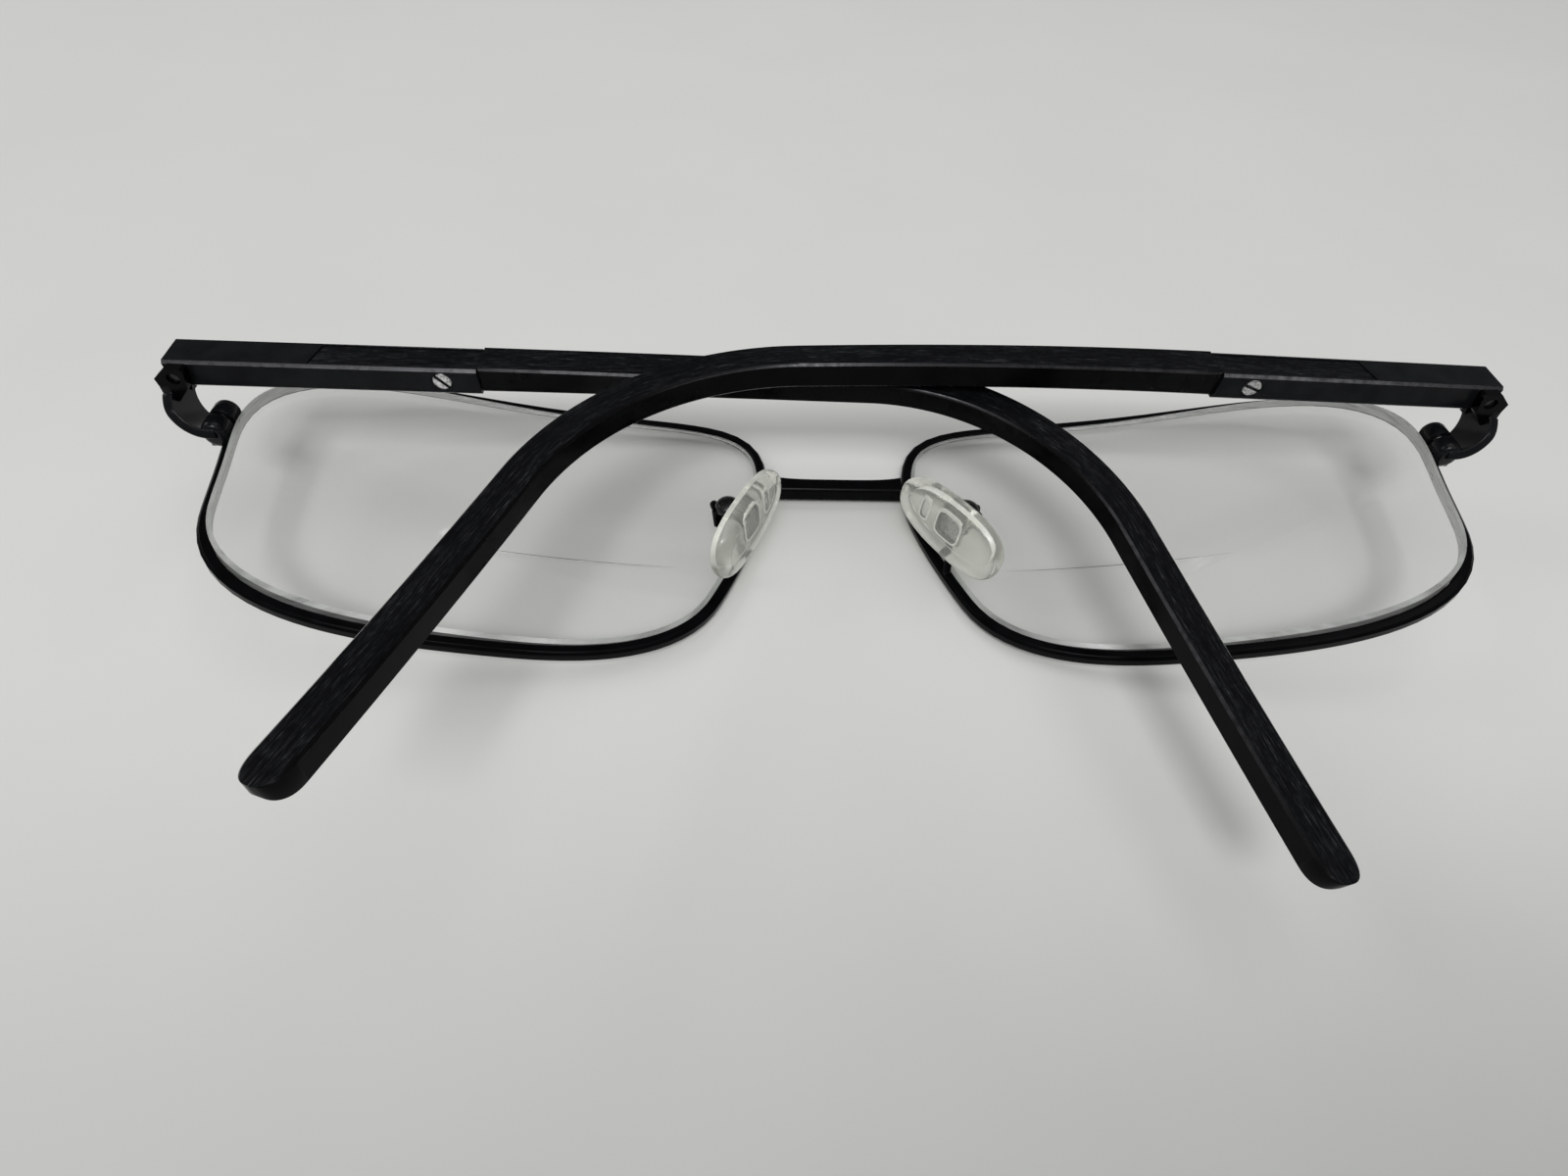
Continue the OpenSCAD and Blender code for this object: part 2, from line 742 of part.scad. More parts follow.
// The point of the pad arm's foot on the eyewire's back, in the eyewire's own frame
foot_drop = 5;
foot_a = 180 + asin(foot_drop / half_w);
foot_at = concat(grown(foot_a, wire_w / 2), dish(edge(foot_a), front_radius) + wire_d);

function turned_x(p, a) = [p[0], p[1] * cos(a) - p[2] * sin(a), p[1] * sin(a) + p[2] * cos(a)];
function turned_y(p, a) = [p[0] * cos(a) + p[2] * sin(a), p[1], p[2] * cos(a) - p[0] * sin(a)];
function turned_z(p, a) = [p[0] * cos(a) - p[1] * sin(a), p[0] * sin(a) + p[1] * cos(a), p[2]];
function eye_point(p) = [eye_x, 0, 0] + turned_y(p, -wrap);
function pad_point(p) =
    [pad_x, pad_y, pad_z] + turned_z(turned_y(turned_x(p, pad_tilt), -pad_face), pad_splay);

module pad_arm(side) {
    foot = eye_point(foot_at);
    hold = pad_point([0, 0, box_back - box_wall / 2]);
    reach = box_half + box_wall;
    color(black) sided(side) difference() {
        union() {
            at_pad() difference() {
                union() {
                    translate([-reach, -box_l / 2, box_back - box_wall]) cube([2 * reach, box_l, box_wall]);
                    for (x = [-reach, box_half])
                        translate([x, -box_l / 2, box_back - box_wall])
                            cube([box_wall, box_l, pivot_z + 0.55 - box_back + box_wall]);
                }
                translate([0, 0, pivot_z]) axle(pad_pin + 0.03, -5, 5);
            }
            bent_wire([
                eye_point(foot_at - [0, 0, 0.5]), eye_point(foot_at + [-0.4, 0.2, 2.4]),
                foot + [1.5, 3.4, 3.8],
                hold + [1, 3.2, 0.8], hold + [1.2, 0.8, 0.2], hold
            ], arm_wire / 2);
        }
        inside_wire(foot_at[2] + 0.02);
    }
}

bridge();
eyewire(-1);  // left_eyewire
eyewire(1);  // right_eyewire
lens(-1);  // left_lens
lens(1);  // right_lens
endpiece(-1);  // left_endpiece
endpiece(1);  // right_endpiece
closing_block(-1);  // left_closing_block
closing_block(1);  // right_closing_block
closing_screw(-1);  // left_closing_screw
closing_screw(1);  // right_closing_screw
hinge_screw(-1);  // left_hinge_screw
hinge_screw(1);  // right_hinge_screw
pad_arm(-1);  // left_pad_arm
pad_arm(1);  // right_pad_arm
pad_screw(-1);  // left_pad_screw
pad_screw(1);  // right_pad_screw
pad_mount(-1);  // left_pad_mount
pad_mount(1);  // right_pad_mount
nose_pad(-1);  // left_nose_pad
nose_pad(1);  // right_nose_pad
temple_front(-1);  // left_temple_front
temple_front(1);  // right_temple_front
temple_arm(-1);  // left_temple_arm
temple_arm(1);  // right_temple_arm
temple_screw(-1);  // left_temple_screw
temple_screw(1);  // right_temple_screw
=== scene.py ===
import json
import math
from functools import partial

import bmesh
import bpy
from mathutils import Matrix, Vector
from mathutils.geometry import delaunay_2d_cdt

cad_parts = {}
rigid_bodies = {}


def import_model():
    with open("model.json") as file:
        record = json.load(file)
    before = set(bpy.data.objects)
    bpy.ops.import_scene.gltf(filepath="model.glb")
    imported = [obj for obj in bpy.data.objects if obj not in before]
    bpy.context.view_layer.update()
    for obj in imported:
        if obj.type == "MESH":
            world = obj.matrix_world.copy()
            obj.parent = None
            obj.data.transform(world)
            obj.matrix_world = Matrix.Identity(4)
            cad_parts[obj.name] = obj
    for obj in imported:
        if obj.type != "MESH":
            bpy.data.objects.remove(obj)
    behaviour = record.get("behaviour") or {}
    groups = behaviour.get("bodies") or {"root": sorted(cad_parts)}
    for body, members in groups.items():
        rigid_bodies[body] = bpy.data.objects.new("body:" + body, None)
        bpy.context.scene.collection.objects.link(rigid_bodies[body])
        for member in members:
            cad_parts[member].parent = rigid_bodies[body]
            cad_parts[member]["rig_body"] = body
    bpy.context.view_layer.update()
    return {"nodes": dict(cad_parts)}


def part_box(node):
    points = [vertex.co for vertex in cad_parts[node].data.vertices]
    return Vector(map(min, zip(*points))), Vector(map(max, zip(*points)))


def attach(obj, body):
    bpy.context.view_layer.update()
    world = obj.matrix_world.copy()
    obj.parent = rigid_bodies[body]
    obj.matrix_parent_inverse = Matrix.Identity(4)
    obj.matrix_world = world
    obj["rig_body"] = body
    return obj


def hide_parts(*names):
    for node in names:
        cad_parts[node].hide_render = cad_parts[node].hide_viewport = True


MM = 0.001
# The two sides as the picture shows them, with the sign of their X
SIDES = {"left": -1, "right": 1}

# Sizes in millimetres and degrees, as in the part's source. Places are from the middle between the
# lens centres, with +X towards the temple and +Z to the back, unless a comment says otherwise.

# The lowest corner of the bridge's box, which ties these places to the part's own
BRIDGE_LOW = Vector((0, 6.5, -2.1))

# The lens opening: its half sides, the gap between the two, and how far each turns back
HALF_WIDTH, HALF_HEIGHT, LENS_GAP, WRAP = 27.5, 16.9, 19.7, 10.1
# The squareness of each corner, from the upper temple corner round by the nose
SQUARENESS = (3.5, 6, 3, 3.25)
# Its lower nose side is drawn in and its upper temple side is drawn out, each over SIDE_RUN
NOSE_SLANT, SLANT_TOP = 0.13, 6.7
TEMPLE_FLARE, FLARE_DROP = 0.06, 6.3
SIDE_RUN = 16

# The lens: its play in the groove, how far back it sits, its thickness and its two curves
LENS_SEAT, LENS_INSET, LENS_THICK = 0.05, 0.25, 1.6
FRONT_RADIUS, BACK_RADIUS, DECENTRE = 168, 150, 4
# The reading segment's circle, its flat top over the circle's middle, and how far it stands out
SEGMENT_RADIUS, SEGMENT_TOP, SEGMENT_STEP = 14, 5, 0.25
SEGMENT_IN, SEGMENT_DROP = 6, 9.6
SEGMENT_MIDDLE = Vector((-SEGMENT_IN, -SEGMENT_DROP))
SEGMENT_LINE = SEGMENT_TOP - SEGMENT_DROP
# The bevel on the lens's back edge, as (across, deep)
SAFETY_BEVEL = (0.45, 0.3)
# The lens's mesh: the steps along the segment's lines, the grid of points between the lines, and
# how far these points keep from the segment and from the bevel
LINE_STEPS, ARC_STEPS, ARC_BREAK = 30, 80, 2
GRID_STEP, GRID_ROW, GRID_COLUMNS, GRID_ROWS = 2.2, 0.87, 14, 9
GRID_CLEAR, GRID_EDGE = 0.4, 0.6

# The nose pads: their size, their place and turn, and how each one hangs on its screw
PAD_LENGTH, PAD_WIDTH, PAD_THICK = 13.8, 7.4, 2
PAD_PLACE = Vector((10.3, -5.4, 7))
PAD_SPLAY, PAD_FACE, PAD_TILT, PAD_PIVOT = 25, 85, 5, -2.25
PAD_SWING = {"left": -4.5, "right": 7.5}
# How square the pad's outline and its holes are, and how much narrower the pad is at its top
PAD_SQUARENESS, PAD_NARROW, HOLE_SQUARENESS = 2.5, 0.1, 5
# The pad's section, as (share of its half width, share of its half thickness), and the shares of
# the rings that close its two ends
PAD_LEVELS = [(0.84, -1), (0.96, -0.75), (1, -0.2), (0.97, 0.35), (0.86, 0.75), (0.66, 1)]
PAD_START, PAD_CLOSE = (0.1, 0.5, 0.9), (0.92, 0.6, 0.1)
# The plate inside the pad, and the frame that stands on it round each of its holes to carry a painted
# highlight
CORE_SHARE, CORE_BACK, CORE_FRONT = 0.6, -0.86, -0.62
CORE_FRAME, FRAME_PLAY, FRAME_LIFT = 0.2, 0.02, 0.01
# The holes for its slot and its mount, as (place, half sides)
CORE_HOLES = ((0, 3.3), (1.15, 0.45)), ((0, 0), (1.45, 1.45))

# The bolt head on the pad's box, as (distance across the box, radius)
BOX_BOLT = [(1.05, 1.22), (1.5, 1.22), (1.78, 1.08), (1.95, 0.72), (2, 0.2)]

# The hinge's axis, and from there the closing screw's axis as (across, back)
HINGE = Vector((68.03, 8.35, 15.353))
LOCK_OFFSET = (-2.5, -4.95)
# The closing gap's height from the hinge, the reach of the shank there and how far its thread shows
LOCK_GAP, LOCK_REACH, THREAD_SHOWN = -3.55, 0.63, 0.6
# The rounded foot of the closing block, as (height, radius), and how far it is drawn out forwards
LOCK_FOOT = [(-5.82, 0.5), (-5.76, 0.85), (-5.6, 1.12), (-5.35, 1.26), (-5, 1.29), (-3.86, 1.29)]
LOCK_SKIRT = 0.5
# The strap, from the hinge: its two faces, its bend, its two edges and its tilt round the bend
STRAP_IN, STRAP_OUT, STRAP_RADIUS, BEND_DROP = 0.95, 1.85, 4.3, 3.6
STRAP_LOW, STRAP_HIGH = -3.06, 0.5
STRAP_TILT, TILT_AT, STRAP_TURN, STRAP_STEPS = 32, -2.6, 97, 24
# Its broad band: how much wider it gets, with the share at the bend's start and the growth round
# the bend, how far it stands over the strap, and its overlap
STRAP_WIDEN, WIDEN_START, WIDEN_GROWTH, STRAP_PROUD, STRAP_LAP = 1, 0.35, 2, 0.04, 0.02
# The band before the bend, as (place, extra width), and its upper edge over its lower one there
STRAP_START, START_RISE = ((-0.9, 0), (-1.7, 0.1)), 0.9

# The temple front's sleeve, along the temple from the hinge, and its channel for the arm
SLEEVE_LENGTH, SLEEVE_HEIGHT, FACE_RISE = 30, 4, 1.35
CHANNEL_START, CHANNEL_SLANT, CHANNEL_HALF, CHANNEL_FLOOR = 13.4, 0.35, 1.55, -0.85
INLAY_GAP, INLAY_DEPTH, INLAY_EDGE = 0.11, 0.1, 0.05
# The normals of the sleeve's slanted edges: their range upwards and their most towards the side
SLANT_RISE, SLANT_REACH = (0.35, 0.93), 0.3
# The arm: its tongue's end, its bar's start, its size at the sleeve and at the tip, its edges
TEMPLE_LENGTH = 137
TONGUE_END, BAR_START = SLEEVE_LENGTH - 0.2, SLEEVE_LENGTH + 0.1
ARM_HEIGHT, TIP_HEIGHT, ARM_THICK, TIP_THICK = 3.9, 3.05, 2.9, 2.6
ARM_SHIFT, ARM_EDGE, ARM_BREAK, ARM_PLAY, TWIST_DEPTH = 0.3, 0.24, 0.07, 0.05, -0.25
# Its rounded tip: the run, squareness and least thickness, where it ends and its least edge
TIP_RUN, TIP_SQUARENESS, TIP_THIN, TIP_END, TIP_EDGE = 2.4, 2.6, 0.4, 0.997, 0.15
# Steps of the arm's loft before its bend, round it and after it
ARM_STEPS = (16, 60, 10)
# How far apart the stretches of grain are for the two arms, and for an arm's broad and narrow faces
ARM_LANE, NARROW_LANE = 120, 20
# The temple screw's place, its head, its slot as (half width, depth) and the turn of each slot
SCREW_FROM_END, SCREW_LIFT, SCREW_HEAD, SCREW_PLAY = 3.7, 0.75, 0.95, 0.02
SCREW_PROUD, SCREW_CROWN, SCREW_SINK, SCREW_STEPS = 0.04, 0.08, 0.45, 24
SCREW_SLOT = (0.17, 0.22)
SCREW_TURN = {"left": -48, "right": 20}


class Fitting:
    """How one temple is bent: its fold and rise, its ear bend, its bow, its curl and its twist."""

    def __init__(self, fold, rise, start, angle, radius, bow, curl, twist):
        self.fold, self.rise, self.start, self.angle, self.radius = fold, rise, start, angle, radius
        self.bow, self.curl, self.twist = bow, curl, twist
        self.end = start + radius * math.radians(angle)


FITTINGS = {"left": Fitting(fold=-0.7, rise=-0.2, start=70.6, angle=76.5, radius=24.6, bow=2500,
                            curl=3.4, twist=6.7),
            "right": Fitting(fold=3, rise=-1.6, start=73.2, angle=69.5, radius=26.6, bow=610,
                             curl=7.4, twist=-2.4)}

# Finished copies: points closer than WELD are one, and so are faces within FLAT_ANGLE. Edges over
# CREASE are broken, those over SHARP stay sharp, and faces over FLAT_AREA are shaded flat.
WELD, FLAT_ANGLE, CREASE, SHARP, FLAT_AREA = 0.002, 0.3, 28, 38, 3.5

# The camera of the photograph: its place in the same frame, its turn and its focal length
CAMERA_PLACE = Vector((-9.23, -63.14, 70.07))
CAMERA_YAW, CAMERA_PITCH, CAMERA_ROLL, CAMERA_LENS = 3.01, -51.96, 3.03, 19.06

# Lamps as (place, width, height, watts), in metres, all turned to the middle of the table
LAMPS = {"ceiling": ((0.15, 0.05, 0.9), 0.7, 0.7, 1.9),
         "key": ((-0.06, -0.5, 0.78), 0.3, 0.22, 3.8),
         "window": ((0.05, -0.58, 0.7), 1.6, 0.14, 1.9),
         "side": ((-0.8, 0.22, 0.62), 0.5, 0.4, 1.5)}
ROOM_LIGHT, TABLE_HALF = 0.2, 1.5


# Node material helpers

def new_material(name):
    """An empty node material with its Principled shader, as (material, tree, shader)."""
    material = bpy.data.materials.new(name)
    material.use_nodes = True
    tree = material.node_tree
    shader = next(n for n in tree.nodes if n.type == "BSDF_PRINCIPLED")
    return material, tree, shader


def node(tree, kind, **values):
    """A new node; values name its properties, or its inputs where it has no such property."""
    made = tree.nodes.new(kind)
    for key, value in values.items():
        if hasattr(made, key):
            setattr(made, key, value)
        else:
            made.inputs[key.replace("_", " ")].default_value = value
    return made


def place_of(tree, kind="Object", scale=(1, 1, 1)):
    """Texture coordinates in millimetres on the piece itself, stretched by scale."""
    source = node(tree, "ShaderNodeTexCoord")
    mapping = node(tree, "ShaderNodeMapping")
    unit = 1 / MM if kind == "Object" else 1
    mapping.inputs["Scale"].default_value = [unit * s for s in scale]
    tree.links.new(source.outputs[kind], mapping.inputs["Vector"])
    return mapping.outputs["Vector"]


def noise(tree, vector, scale, detail=3, roughness=0.5):
    """Cloudy noise between 0 and 1."""
    made = node(tree, "ShaderNodeTexNoise", Scale=scale, Detail=detail, Roughness=roughness)
    tree.links.new(vector, made.inputs["Vector"])
    return made.outputs["Fac"]


def spread(tree, value, low, high, start=0.3, end=0.7, smooth=False):
    """Maps a value from start..end onto low..high."""
    made = node(tree, "ShaderNodeMapRange", interpolation_type="SMOOTHSTEP" if smooth else "LINEAR")
    for key, number in zip(("From Min", "From Max", "To Min", "To Max"), (start, end, low, high)):
        made.inputs[key].default_value = number
    tree.links.new(value, made.inputs["Value"])
    return made.outputs["Result"]


def blend(tree, value, factor, other):
    """value * factor + other, where each of the last two is a number or a socket."""
    made = node(tree, "ShaderNodeMath", operation="MULTIPLY_ADD")
    tree.links.new(value, made.inputs[0])
    for socket, term in ((made.inputs[1], factor), (made.inputs[2], other)):
        if isinstance(term, bpy.types.NodeSocket):
            tree.links.new(term, socket)
        else:
            socket.default_value = term
    return made.outputs[0]


def shades(tree, value, stops):
    """A colour ramp through stops of (place, colour)."""
    ramp = node(tree, "ShaderNodeValToRGB")
    elements = ramp.color_ramp.elements
    while len(elements) < len(stops):
        elements.new(0.5)
    for element, (place, colour) in zip(elements, stops):
        element.position = place
        element.color = (*colour, 1)
    tree.links.new(value, ramp.inputs["Fac"])
    return ramp.outputs["Color"]


def toned(tree, shader, pattern, dark, light, roughness, ends=(0.3, 0.7)):
    """Colours the shader from dark to light by a pattern, which spreads its roughness too."""
    colour = shades(tree, pattern, [(ends[0], dark), (ends[1], light)])
    tree.links.new(colour, shader.inputs["Base Color"])
    tree.links.new(spread(tree, pattern, *roughness), shader.inputs["Roughness"])


def bump(tree, shader, height, strength, distance):
    """Roughens the shader's surface by a height, over a distance in metres."""
    made = node(tree, "ShaderNodeBump", Strength=strength, Distance=distance)
    tree.links.new(height, made.inputs["Height"])
    tree.links.new(made.outputs["Normal"], shader.inputs["Normal"])


def see_through(tree, shader, colour):
    """Lets the light of lamps and of the room straight through the shader, tinted by colour."""
    path = node(tree, "ShaderNodeLightPath")
    straight = node(tree, "ShaderNodeMath", operation="MAXIMUM")
    tree.links.new(path.outputs["Is Shadow Ray"], straight.inputs[0])
    tree.links.new(path.outputs["Is Diffuse Ray"], straight.inputs[1])
    clear = node(tree, "ShaderNodeBsdfTransparent", Color=colour)
    mix = node(tree, "ShaderNodeMixShader")
    output = next(n for n in tree.nodes if n.type == "OUTPUT_MATERIAL")
    tree.links.new(straight.outputs[0], mix.inputs[0])
    tree.links.new(shader.outputs[0], mix.inputs[1])
    tree.links.new(clear.outputs[0], mix.inputs[2])
    tree.links.new(mix.outputs[0], output.inputs["Surface"])


# Materials

def black_lacquer(name, gloss, shade):
    """Black lacquer on metal, of one gloss and shade, with the fine grain of a sprayed coat."""
    material, tree, shader = new_material(name)
    place = place_of(tree)
    cloud = noise(tree, place, 0.5, 3)
    tint = shade * Vector((0.9, 1, 1.12))
    toned(tree, shader, cloud, 0.7 * tint, 1.3 * tint, (0.17, 0.23))
    bump(tree, shader, noise(tree, place, 9, 4), 0.05, 0.00004)
    shader.inputs["Specular IOR Level"].default_value = gloss
    return material


def brushed_charcoal():
    """Dark metal brushed along the arm: fine streaks, in darker and lighter patches."""
    material, tree, shader = new_material("brushed_charcoal")
    streak = noise(tree, place_of(tree, "UV", (0.4, 7, 1)), 1, 6, 0.65)
    hair = noise(tree, place_of(tree, "UV", (0.6, 15, 1)), 1, 3, 0.7)
    patch = noise(tree, place_of(tree, "UV", (0.09, 0.7, 1)), 1, 4, 0.6)
    fleck = noise(tree, place_of(tree, "UV", (1.6, 3.2, 1)), 1, 5, 0.7)
    total = blend(tree, fleck, 0.4, blend(tree, patch, 0.3, blend(tree, hair, 0.6, streak)))
    fine = spread(tree, total, 0, 1, 0.96, 1.42)
    stops = [(0.1, (0.0006, 0.0008, 0.001)), (0.45, (0.003, 0.0035, 0.0042)),
             (0.75, (0.014, 0.015, 0.0165)), (1, (0.06, 0.062, 0.065))]
    tree.links.new(shades(tree, fine, stops), shader.inputs["Base Color"])
    tree.links.new(spread(tree, fine, 0.5, 0.36, 0, 1), shader.inputs["Roughness"])
    bump(tree, shader, streak, 0.25, 0.00005)
    shader.inputs["Specular IOR Level"].default_value = 0.06
    return material


def rubbed_edge(name, sheen):
    """Slanted edges, where the black is rubbed down to a dark sheen of metal."""
    material, tree, shader = new_material(name)
    wear = noise(tree, place_of(tree), 1.3, 4, 0.6)
    tint = sheen * Vector((0.97, 0.98, 1.04))
    toned(tree, shader, wear, 0.6 * tint, 1.2 * tint, (0.3, 0.22))
    shader.inputs["Metallic"].default_value = 1
    bump(tree, shader, wear, 0.1, 0.00003)
    return material


def lens_clear():
    """Clear lens plastic with hardly any tint. Lamps shine through it."""
    material, tree, shader = new_material("lens_clear")
    wipe = noise(tree, place_of(tree), 0.2, 3)
    tree.links.new(spread(tree, wipe, 0.004, 0.02), shader.inputs["Roughness"])
    shader.inputs["Base Color"].default_value = (0.94, 0.945, 0.94, 1)
    shader.inputs["IOR"].default_value = 1.5
    shader.inputs["Transmission Weight"].default_value = 1
    see_through(tree, shader, (0.97, 0.972, 0.97, 1))
    return material


def lens_edge():
    """The lens's ground edge: frosted, with the long fine marks of the edging wheel."""
    material, tree, shader = new_material("lens_edge")
    mark = noise(tree, place_of(tree, "Object", (0.25, 0.25, 2)), 1, 4)
    toned(tree, shader, mark, (0.28, 0.29, 0.28), (0.5, 0.52, 0.5), (0.25, 0.4), (0.35, 0.65))
    shader.inputs["Transmission Weight"].default_value = 0.6
    shader.inputs["IOR"].default_value = 1.5
    bump(tree, shader, mark, 0.1, 0.00005)
    see_through(tree, shader, (0.85, 0.86, 0.85, 1))
    return material


def ledge_painted_shade():
    """The small ledge of the reading segment, painted dark grey as painted shade for the grey line it
    shows; the walls of the pad plates' holes take it too, as painted shade.
    """
    material, tree, shader = new_material("ledge_painted_shade")
    mark = noise(tree, place_of(tree), 2, 3)
    # Painted shade: dark grey on clear plastic
    toned(tree, shader, mark, (0.05, 0.052, 0.05), (0.1, 0.103, 0.1), (0.25, 0.4))
    shader.inputs["IOR"].default_value = 1.5
    shader.inputs["Transmission Weight"].default_value = 0.2
    return material


def pad_silicone():
    """Clear soft plastic with a faint yellow-green tint and a slightly uneven skin."""
    material, tree, shader = new_material("pad_silicone")
    cloud = noise(tree, place_of(tree), 0.35, 3)
    toned(tree, shader, cloud, (0.92, 0.925, 0.85), (0.97, 0.972, 0.93), (0.06, 0.16))
    shader.inputs["IOR"].default_value = 1.41
    shader.inputs["Transmission Weight"].default_value = 0.9
    bump(tree, shader, noise(tree, place_of(tree), 0.9, 3), 0.12, 0.0002)
    see_through(tree, shader, (0.9, 0.905, 0.87, 1))
    return material


def pad_core():
    """The stiffer clear plate inside each pad."""
    material, tree, shader = new_material("pad_core")
    cloud = noise(tree, place_of(tree), 0.8, 3)
    toned(tree, shader, cloud, (0.93, 0.945, 0.93), (0.98, 0.985, 0.97), (0.08, 0.2))
    shader.inputs["IOR"].default_value = 1.12
    shader.inputs["Transmission Weight"].default_value = 0.95
    see_through(tree, shader, (0.85, 0.86, 0.84, 1))
    return material


def core_painted_highlight():
    """Painted highlights: the edges of the plate, its slot and its mount, painted bright as they show
    through the pad.
    """
    material, tree, shader = new_material("core_painted_highlight")
    cloud = noise(tree, place_of(tree), 1.2, 3)
    toned(tree, shader, cloud, (0.78, 0.79, 0.77), (0.97, 0.97, 0.95), (0.15, 0.3))
    shader.inputs["Transmission Weight"].default_value = 0.2
    return material


def steel():
    """Bare steel with turning marks."""
    material, tree, shader = new_material("steel")
    mark = noise(tree, place_of(tree, "Object", (1, 7, 1)), 3, 4)
    toned(tree, shader, mark, (0.28, 0.28, 0.285), (0.5, 0.5, 0.49), (0.22, 0.36))
    shader.inputs["Metallic"].default_value = 1
    bump(tree, shader, mark, 0.1, 0.00003)
    return material


def dark_steel():
    """Blackened steel of the small screws in the front."""
    material, tree, shader = new_material("dark_steel")
    mark = noise(tree, place_of(tree), 4, 4)
    toned(tree, shader, mark, (0.02, 0.02, 0.022), (0.05, 0.05, 0.053), (0.22, 0.36))
    shader.inputs["Metallic"].default_value = 0.85
    bump(tree, shader, mark, 0.08, 0.00003)
    return material


def thread_painted_glints():
    """Steel with a fine thread round the Y axis, its colour painted lighter on the crests as painted
    glints and darker in the grooves as painted shade.
    """
    material, tree, shader = new_material("thread_painted_glints")
    wave = node(tree, "ShaderNodeTexWave", bands_direction="Y", Scale=1.1)
    tree.links.new(place_of(tree), wave.inputs["Vector"])
    thread = wave.outputs["Fac"]
    # Painted glints on the thread's crests and painted shade in its grooves
    toned(tree, shader, thread, (0.25, 0.25, 0.26), (0.8, 0.8, 0.8), (0.35, 0.2), (0.2, 0.8))
    shader.inputs["Metallic"].default_value = 1
    bump(tree, shader, thread, 0.8, 0.0001)
    return material


def table_top():
    """A pale matt table, hardly mottled, with painted shade darkening it towards the near right and
    painted light making it paler far away.
    """
    material, tree, shader = new_material("table_top")
    place = place_of(tree)
    across = node(tree, "ShaderNodeSeparateXYZ")
    tree.links.new(place, across.inputs[0])
    # Painted shade: darker towards the near side, more so to the right
    near = spread(tree, across.outputs["Y"], 0.56, 0, -70, 5, smooth=True)
    right = spread(tree, across.outputs["X"], 0.55, 1, -90, 60, smooth=True)
    # Painted light: paler far away
    far = spread(tree, across.outputs["Y"], 0.2, 0.05, 20, 220, smooth=True)
    mark = spread(tree, noise(tree, place, 0.03, 4), -0.02, 0.02)
    shade = blend(tree, near, right, blend(tree, mark, 1, far))
    stops = [(0, (0.77, 0.77, 0.75)), (0.2, (0.685, 0.685, 0.67)), (1, (0.23, 0.23, 0.223))]
    tree.links.new(shades(tree, shade, stops), shader.inputs["Base Color"])
    shader.inputs["Roughness"].default_value = 0.6
    shader.inputs["Specular IOR Level"].default_value = 0.2
    return material


# Finished copies of the solids: the same shape, with its edges just broken and shaded smooth

def copy_of(name, mesh, materials, body, slot, *nodes):
    """A piece with the given mesh and materials that stands for the CAD nodes of those names."""
    for material in materials:
        mesh.materials.append(material)
    piece = bpy.data.objects.new(name + "_piece", mesh)
    bpy.context.scene.collection.objects.link(piece)
    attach(piece, body)
    if nodes:
        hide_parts(*nodes)
    return piece


def bevel(bm, edges, width):
    """Rounds off the edges by a width in millimetres."""
    bmesh.ops.bevel(bm, geom=edges, offset=width * MM, segments=2, profile=0.5, affect="EDGES",
                    clamp_overlap=True)


def creases(bm, least):
    """The edges whose faces meet at more than least degrees."""
    return [e for e in bm.edges if len(e.link_faces) == 2 and e.calc_face_angle(0) > math.radians(least)]


def weigh_normals(piece):
    """Lets the large faces beside each edge set its shading, up to the sharp edges."""
    normals = piece.modifiers.new("normals", "WEIGHTED_NORMAL")
    normals.keep_sharp = True


def finished(name, slot, materials, width, choose=None):
    """The node's shape with broken edges; choose(face) says which of the materials a face takes."""
    source = frame["nodes"][name]
    mesh = bpy.data.meshes.new(name + "_mesh")
    bm = bmesh.new()
    bm.from_mesh(source.data)
    bmesh.ops.remove_doubles(bm, verts=bm.verts, dist=WELD * MM)
    bmesh.ops.dissolve_limit(bm, angle_limit=math.radians(FLAT_ANGLE), verts=bm.verts, edges=bm.edges)
    bevel(bm, creases(bm, CREASE), width)
    for face in bm.faces:
        face.smooth = face.calc_area() < FLAT_AREA * MM ** 2
        if choose:
            face.material_index = choose(face)
    bm.to_mesh(mesh)
    bm.free()
    mesh.set_sharp_from_angle(angle=math.radians(SHARP))
    weigh_normals(copy_of(name, mesh, materials, source["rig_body"], slot, name))


# Shapes built from points in millimetres

